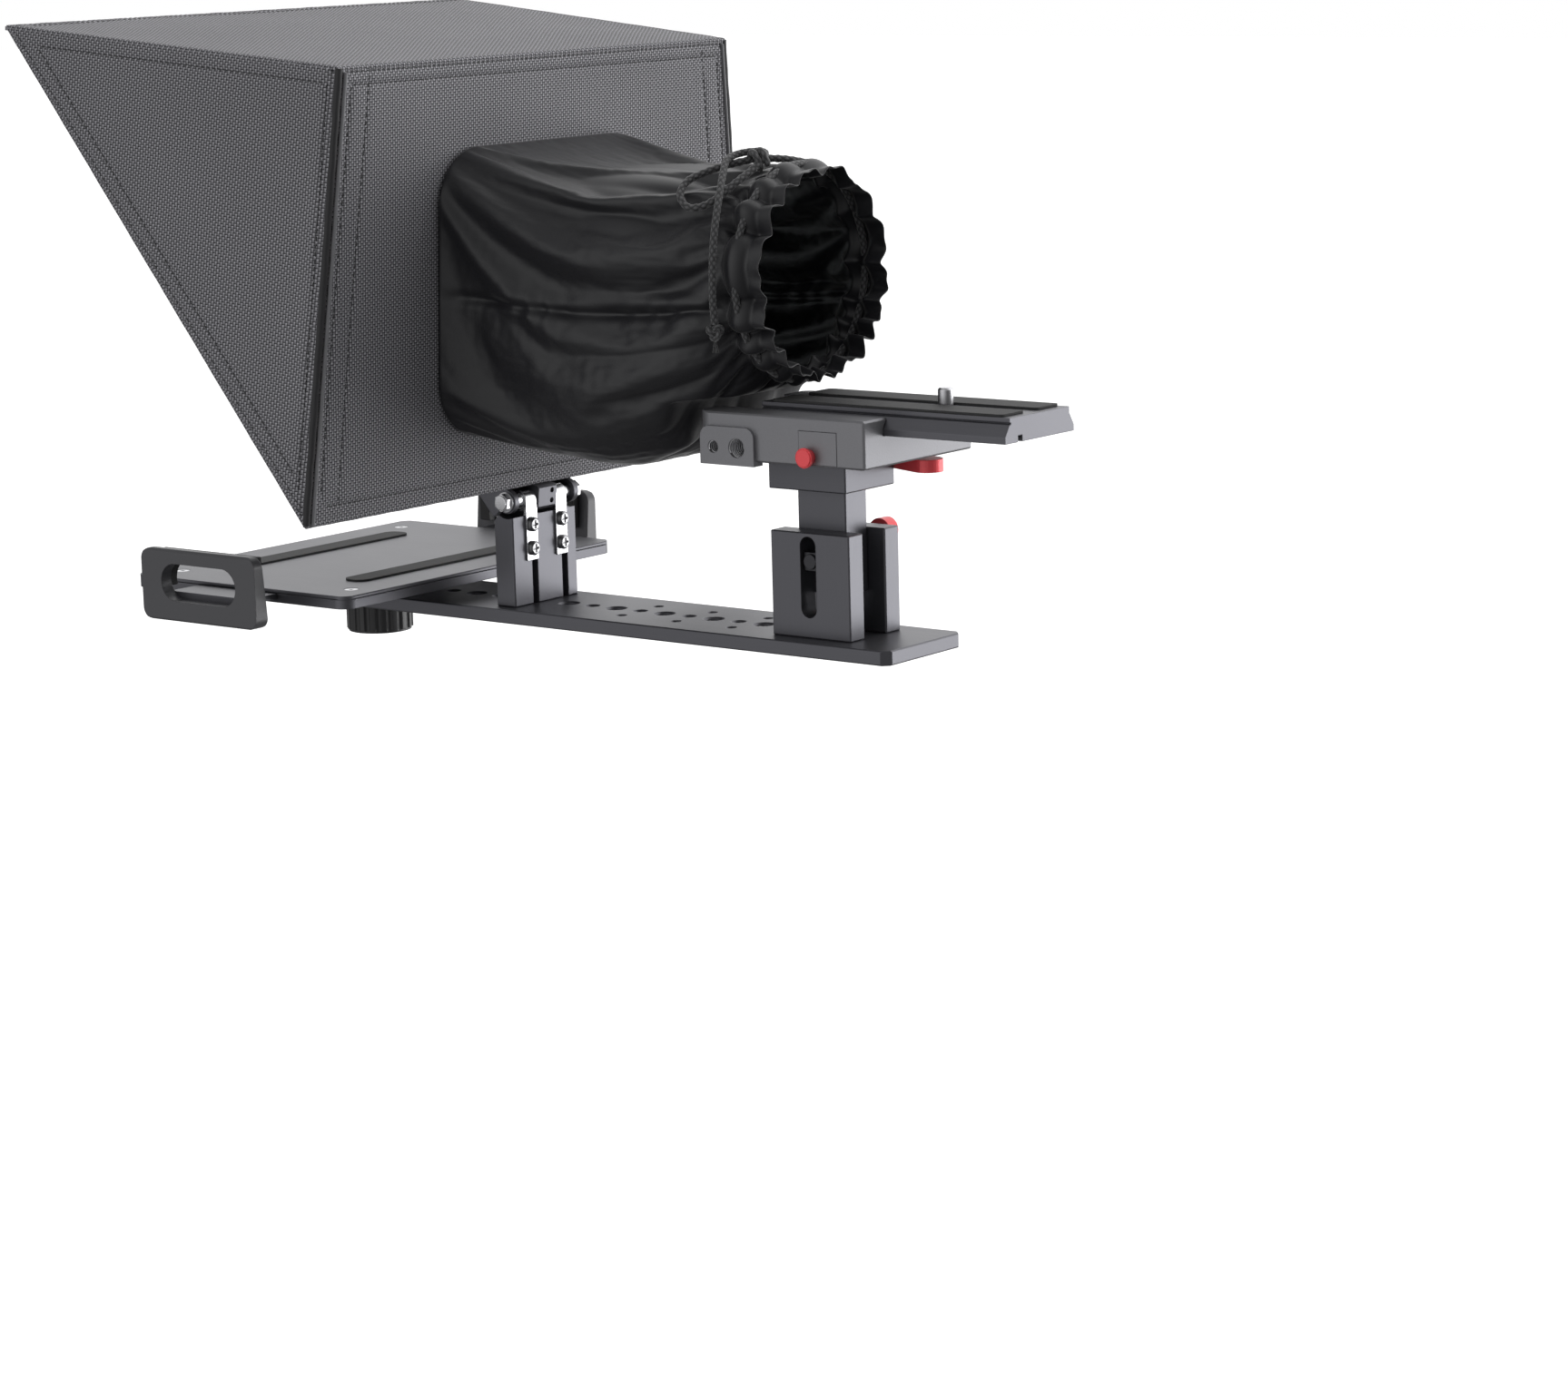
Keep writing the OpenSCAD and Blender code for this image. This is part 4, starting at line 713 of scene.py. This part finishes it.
FOLD_SEED, FOLD_RELIEF = 40, 0.05
FOLDS = {}
for side, label in ((-1, "left"), (1, "right")):
    top = (side * (HALF_TOP - 1.0), BACK_Y + 0.9, HOOD_Z - 1.0)
    low = (side * (HALF_LOW - 1.0), LOW_Y + 0.9, LOW_Z + 0.6)
    front = (side * (HALF_FRONT - 1.0), FRONT_Y - 1.2, HOOD_Z - 1.0)
    piping_top = (side * (HALF_TOP - 3.3), BACK_Y - 0.5, HOOD_Z - 2.5)
    piping_low = (side * (HALF_LOW - 3.3), LOW_Y - 0.5, LOW_Z + 0.5)
    FOLDS["hood_diagonal_" + label] = (low, front, 1.15, "hood_nylon")
    FOLDS["hood_top_edge_" + label] = (top, front, 1.1, "hood_nylon")
    FOLDS["hood_corner_" + label] = (top, low, 1.5, "binding")
    FOLDS["hood_piping_" + label] = (piping_top, piping_low, 0.85, "piping")
FOLDS["hood_front_edge"] = ((-HALF_FRONT + 1, FRONT_Y - 1.2, HOOD_Z - 1.1),
                            (HALF_FRONT - 1, FRONT_Y - 1.2, HOOD_Z - 1.1), 1.2, "hood_nylon")
FOLDS["hood_low_edge"] = ((-HALF_LOW + 1, LOW_Y + 1.0, LOW_Z + 0.5),
                          (HALF_LOW - 1, LOW_Y + 1.0, LOW_Z + 0.5), 1.15, "hood_nylon")
FOLDS["hood_rear_edge"] = ((-HALF_TOP + 1, BACK_Y + 0.9, HOOD_Z - 1.0),
                           (HALF_TOP - 1, BACK_Y + 0.9, HOOD_Z - 1.0), 1.1, "hood_nylon")
for number, (name, (a, b, radius, finish)) in enumerate(FOLDS.items()):
    tube(name, head_line(a, b), radius, finish, "head", "hood_nylon",
         relief=cloth_relief(FOLD_SEED + number, FOLD_RELIEF), round_uv=TURN * radius * MM)

# ------------------------------------------------------------------ camera sleeve: gathered cloth

AROUND, ALONG = 260, 60                       # points round the sleeve, rings along it
CASING_Y, NECK_R, LEAST_R = -70.0, 40.2, 36.5
PLEATS, PLEAT, SLACK_PLEAT = 17, 2.9, 0.25    # number of pleats, their height at the casing and before it
MIDDLE_W, MIDDLE_H, MIDDLE_CORNER = 126, 131, 46
MIDDLE_Y, MIDDLE_Z, MIDDLE_REACH = -4.0, 139.0, 65
KNEE = 0.5                                    # share of the sleeve that runs straight out from the mouth
SLEEVE_REACH = 137.0                          # length of the cloth from the mouth to the casing
MOUTH_PERIMETER = 464.8
CASING_W, CASING_PUFF, HEM_W = 10.5, 3.6, 7.5
CLOTH_T = 0.5
SIM_SCALE = 0.01                              # ten times the real size, which suits the solver
SIM_FRAMES = 26
MOST_MOVED = 13.0

fractions = np.arange(AROUND) / AROUND
pleat_phase = PLEATS * math.pi * fractions + 0.8 * np.sin(TURN * 3 * fractions + 0.7) + 0.5 * np.sin(
    TURN * 5 * fractions + 2.0)
pleat_wave = 2 * np.abs(np.sin(pleat_phase)) ** 0.8 - 1.1
pleat_size = 1 + 0.45 * np.sin(TURN * 4 * fractions + 1.0) * np.sin(TURN * 2 * fractions + 0.4)
neck_angles = TURN * fractions - 0.284 * np.cos(TURN * fractions)


def ring_at(radius, y, pleat):
    size = np.maximum(radius + pleat * pleat_wave * pleat_size, LEAST_R)
    xs, zs = size * np.cos(neck_angles), NECK_Z + size * np.sin(neck_angles)
    return np.stack([xs, np.full(AROUND, y), zs], axis=1)


def mouth_ring(shrink, lift):
    outline = rounded_outline(MOUTH_W - 2 * shrink, MOUTH_H - 2 * shrink, MOUTH_R - shrink, AROUND)
    return np.array([BACK @ Vector((p.x, p.y + MOUTH_Y, lift)) for p in outline])


def gathered_start():
    """The tube before it settles: straight out from the mouth, then drawn in to the casing in pleats."""
    middle_outline = rounded_outline(MIDDLE_W, MIDDLE_H, MIDDLE_CORNER, AROUND)
    middle = np.array([(p.x, MIDDLE_Y, MIDDLE_Z + p.y) for p in middle_outline])
    middle_centre = np.array((0, MIDDLE_Y, MIDDLE_Z))
    mouth, flat_neck = mouth_ring(0, 1.0), ring_at(NECK_R, CASING_Y, 0)
    outward = flat_neck - np.array((0, CASING_Y, NECK_Z))
    outward /= np.linalg.norm(outward, axis=1)[:, None]
    reach = CASING_Y - MIDDLE_Y
    shape = np.zeros((ALONG, AROUND, 3))
    for i in range(ALONG):
        t = i / (ALONG - 1)
        if t < KNEE:
            s = t / KNEE
            shape[i] = mouth + (middle - mouth) * s
            shape[i] += pleat_wave[:, None] * SLACK_PLEAT * s * (middle - middle_centre) / MIDDLE_REACH
        else:
            s = (t - KNEE) / (1 - KNEE)
            base = middle * (1 - s * s) + flat_neck * (s * s)
            base[:, 1] = MIDDLE_Y + reach * math.sin(s * math.pi / 2) * 0.45 + reach * s * 0.55
            rising = SLACK_PLEAT + (PLEAT - SLACK_PLEAT) * s ** 1.5
            shape[i] = base + outward * (pleat_wave * pleat_size * rising)[:, None]
    shape[0], shape[-1] = mouth, ring_at(NECK_R, CASING_Y, PLEAT)
    return shape


def simulate_sleeve(start_shape):
    """Lets the gathered tube settle: at rest it is the full straight tube, held at mouth and casing."""
    outline = rounded_outline(MOUTH_W, MOUTH_H, MOUTH_R, AROUND)
    rest = [(p.x, -SLEEVE_REACH * i / (ALONG - 1), p.y) for i in range(ALONG) for p in outline]
    mesh = bpy.data.meshes.new("sleeve_rehearsal")
    mesh.from_pydata([Vector(p) * SIM_SCALE for p in rest], [], rings_to_faces(ALONG, AROUND))
    made = bpy.data.objects.new("sleeve_rehearsal", mesh)
    scene.collection.objects.link(made)
    made.shape_key_add(name="Basis")
    key = made.shape_key_add(name="start")
    key.data.foreach_set("co", (start_shape.reshape(-1) * SIM_SCALE).astype(np.float32))
    key.value = 1.0
    held = made.vertex_groups.new(name="held")
    held.add([i * AROUND + j for i in (0, ALONG - 1) for j in range(AROUND)], 1.0, "REPLACE")
    cloth = made.modifiers.new("cloth", "CLOTH")
    settings = cloth.settings
    settings.rest_shape_key = made.data.shape_keys.key_blocks["Basis"]
    settings.vertex_group_mass = "held"
    settings.quality = 7
    settings.mass = 0.25
    settings.tension_stiffness = settings.compression_stiffness = 18
    settings.shear_stiffness = 6
    settings.bending_stiffness = 3.0
    settings.tension_damping = settings.compression_damping = 12
    settings.bending_damping = 2
    settings.air_damping = 6
    settings.use_pressure = True
    settings.uniform_pressure_force = -0.6
    settings.effector_weights.gravity = 0.25
    cloth.collision_settings.use_collision = False
    cloth.point_cache.frame_start = 1
    cloth.point_cache.frame_end = 40
    for number in range(1, SIM_FRAMES + 1):
        scene.frame_set(number)
    shaped = made.evaluated_get(bpy.context.evaluated_depsgraph_get()).to_mesh()
    co = np.zeros(len(shaped.vertices) * 3, np.float32)
    shaped.vertices.foreach_get("co", co)
    result = co.reshape(ALONG, AROUND, 3).astype(float) / SIM_SCALE
    bpy.data.objects.remove(made)
    scene.frame_set(1)
    moved = result - start_shape
    size = np.linalg.norm(moved, axis=2, keepdims=True)
    return start_shape + moved * np.minimum(1, MOST_MOVED / np.maximum(size, 1e-6))


def casing_and_hem():
    """The channel for the string, puffed between two lines of sewing, and the loose hem behind it."""
    made = []
    for s in np.linspace(0, 1, 15)[1:]:
        puff = math.sin(math.pi * s) ** 0.8
        made.append(ring_at(NECK_R + CASING_PUFF * puff, CASING_Y - CASING_W * s, PLEAT * (1 - 0.2 * puff)))
    for s in np.linspace(0, 1, 10)[1:]:
        lap = 0.8 * s * np.sin(TURN * 31 * fractions + 2 * np.sin(TURN * 4 * fractions))
        made.append(ring_at(NECK_R - 0.4 + 1.4 * s + lap, CASING_Y - CASING_W - HEM_W * s,
                            PLEAT * (1 - 0.25 * s)))
    return made


def sew_side_seam(points, column, upward):
    """A sewn seam down one side, with puckers and the fuller cloth rolling over it."""
    spacing = MOUTH_W * 3.5 / AROUND
    away = ((np.arange(AROUND) - column + AROUND // 2) % AROUND - AROUND // 2) * spacing
    above = upward * away
    for i in range(3, ALONG + 2):
        t = (i - 2) / (ALONG - 1)
        ring_points = points[i]
        outward = ring_points - np.array((0, ring_points[:, 1].mean(), ring_points[:, 2].mean()))
        outward[:, 1] = 0
        outward /= np.linalg.norm(outward, axis=1)[:, None]
        fade = min(1, t * 8) * min(1, (1 - t) * 9)
        groove = -3.4 * np.exp(-(away / 1.9) ** 2)
        pucker = 0.8 * math.sin(t * 61 + 2 * math.sin(t * 17)) * np.exp(-(np.abs(away) / 7))
        roll = 3.4 * np.exp(-((above - 5.5) / 3.8) ** 2) * math.exp(-((t - 0.72) / 0.2) ** 2)
        points[i] += outward * ((groove + pucker + roll) * fade)[:, None]


def clear_the_cord(points):
    """Presses the cloth in where the bow and the tail lie on it."""
    line = tail_path + [Vector(w) for w in wrap_line]
    clear = CORD_D / 2 + 0.5
    nearest = KDTree(len(line))
    for number, p in enumerate(line):
        nearest.insert(p, number)
    nearest.balance()
    for ring_points in points[8:ALONG + 2]:
        for k, p in enumerate(ring_points):
            _, _, gap = nearest.find(Vector(p))
            if gap < clear:
                inward = Vector((-p[0], 0, NECK_Z - p[2])).normalized()
                ring_points[k] = Vector(p) + inward * (clear - gap)


def clear_the_clamp(points):
    """Presses the underside up where the camera clamp and its plate pass close below."""
    clear, margin, fading = 4.2, 3.0, 9.0
    for name in ("clamp_body", "quick_release_plate"):
        solid = frame["nodes"][name]
        box = np.array([solid.matrix_world @ Vector(corner) for corner in solid.bound_box]) / MM
        box_low, box_high = box.min(axis=0), box.max(axis=0)
        outside = np.maximum(np.maximum(box_low - points, points - box_high), 0)
        near = np.clip(1 - (outside[:, :, :2].max(axis=2) - margin) / fading, 0, 1)
        lift = np.clip(box_high[2] + clear - points[:, :, 2], 0, None) * near * near * (3 - 2 * near)
        points[:, :, 2] += lift


start = gathered_start()
body_rings = simulate_sleeve(start)
sleeve_points = np.array([mouth_ring(5, 0.7), mouth_ring(1.2, 1.3)] + list(body_rings) + casing_and_hem())
sew_side_seam(sleeve_points, AROUND // 2, -1)
sew_side_seam(sleeve_points, 0, 1)
clear_the_cord(sleeve_points)
clear_the_clamp(sleeve_points)

sleeve_count = len(sleeve_points)
steps_along = np.linalg.norm(np.diff(sleeve_points, axis=0), axis=2).mean(axis=1)
run_along = np.concatenate([[0], np.cumsum(steps_along)])
run_along[2:ALONG + 2] = run_along[2] + SLEEVE_REACH * np.arange(ALONG) / (ALONG - 1)
sleeve_uvs = [(MOUTH_PERIMETER * (j / AROUND) * MM, run_along[i] * MM)
              for i in range(sleeve_count) for j in range(AROUND)]
sleeve = finish_mesh("camera_sleeve_cloth", sleeve_points.reshape(-1, 3),
                     rings_to_faces(sleeve_count, AROUND), sleeve_uvs, ["sleeve_nylon"], "head",
                     sharp=180)
thick = sleeve.modifiers.new("cloth_thickness", "SOLIDIFY")
thick.thickness = CLOTH_T * MM
thick.offset = -1
fine = sleeve.modifiers.new("smooth", "SUBSURF")
fine.levels = fine.render_levels = 1
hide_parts("camera_sleeve")

# ------------------------------------------------------------------ screw threads in the sockets

THREAD_PITCH, THREAD_R, THREAD_SUNK = 1.25, 0.38, 0.05
CLAMP_THREAD, RAIL_THREAD = (-6.3, 4.6), (-2.9, 1.7)     # where a thread starts and ends along its axis
for mount in frame["record"]["mounts"]:
    if mount["kind"] != "threaded_hole":
        continue
    on_clamp = mount["name"].startswith("accessory")
    first, last = CLAMP_THREAD if on_clamp else RAIL_THREAD
    axis = Vector(mount["axis"])
    thread_start = Vector(mount["pos_m"]) / MM + axis * first
    radius = mount["dims"]["r_mm"] - THREAD_SUNK
    side = axis.orthogonal().normalized()
    other = axis.cross(side)
    turns = (last - first) / THREAD_PITCH
    line = [thread_start + axis * THREAD_PITCH * t + radius * (
        math.cos(TURN * t) * side + math.sin(TURN * t) * other)
        for t in np.linspace(0, turns, int(turns * 22))]
    body = "riser" if on_clamp else "base"
    tube("thread_" + mount["name"], line, THREAD_R, "steel", body, "steel", sides=6)

# ------------------------------------------------------------------ floor

FLOOR_Z, FLOOR_REACH = -0.42, 14              # metres
floor_mesh = bpy.data.meshes.new("floor")
floor_corners = [(x * FLOOR_REACH, y * FLOOR_REACH, FLOOR_Z) for x, y in ((-1, -1), (1, -1), (1, 1), (-1, 1))]
floor_mesh.from_pydata(floor_corners, [], [(0, 1, 2, 3)])
floor = bpy.data.objects.new("floor", floor_mesh)
scene.collection.objects.link(floor)
paper, tree, bsdf = new_material("floor_paper")
grain = noise(tree, object_place(tree), 30.0)
tree.links.new(blend_colour(tree, grain, (0.9, 0.9, 0.9), (0.93, 0.93, 0.93)), bsdf.inputs["Base Color"])
set_constants(bsdf, Roughness=0.95, Specular_IOR_Level=0.0, Emission_Color=(1, 1, 1, 1),
              Emission_Strength=0.5)
floor_mesh.materials.append(paper)
for ray in ("diffuse", "glossy", "transmission", "volume_scatter", "shadow"):
    setattr(floor, "visible_" + ray, False)

# ------------------------------------------------------------------ studio light

ROOM, CEILING, BRIGHT_SIDE = 0.17, 0.1, 1.15
LAMPS = (                                      # towards the light, how narrow it is, how strong it is
    ((-0.92, 0.25, 0.2), 3.0, 0.95),
    ((0.45, -0.45, 0.77), 5.0, 0.55),
    ((0.8, -0.6, -0.1), 24.0, 5.0))

world = bpy.data.worlds.new("studio")
scene.world = world
world.use_nodes = True
tree = world.node_tree
backdrop = tree.nodes["Background"]
direction = node(tree, "TexCoord").outputs["Generated"]
axes = node(tree, "SeparateXYZ", {0: direction})


def ramp(value, low, high):
    """Soft step from 0 at low to 1 at high."""
    return node(tree, "MapRange", {0: value, 1: low, 2: high, 3: 0.0, 4: 1.0},
                interpolation_type="SMOOTHSTEP").outputs[0]


def lamp(towards, sharpness, gain, base):
    """A soft light from one side of the studio, added to base."""
    facing = node(tree, "VectorMath", {0: direction, 1: Vector(towards).normalized()},
                  operation="DOT_PRODUCT").outputs["Value"]
    falling = calc(tree, "POWER", calc(tree, "MAXIMUM", facing, 0.0), sharpness)
    return calc(tree, "MULTIPLY_ADD", falling, gain, base)


above = calc(tree, "MAXIMUM", axes.outputs[2], 0.0)
bright = calc(tree, "MULTIPLY", ramp(axes.outputs[0], -0.15, 0.75), ramp(axes.outputs[2], -0.7, 0.0))
lit = calc(tree, "MULTIPLY_ADD", above, CEILING, calc(tree, "MULTIPLY_ADD", bright, BRIGHT_SIDE, ROOM))
for towards, sharpness, gain in LAMPS:
    lit = lamp(towards, sharpness, gain, lit)
seen = node(tree, "LightPath").outputs["Is Camera Ray"]
strength = node(tree, "Mix", {0: seen, 2: lit, 3: 1.0}, data_type="FLOAT").outputs[0]
backdrop.inputs["Color"].default_value = (1, 1, 1, 1)
tree.links.new(strength, backdrop.inputs["Strength"])
scene.view_settings.view_transform = "Standard"
scene.view_settings.look = "None"
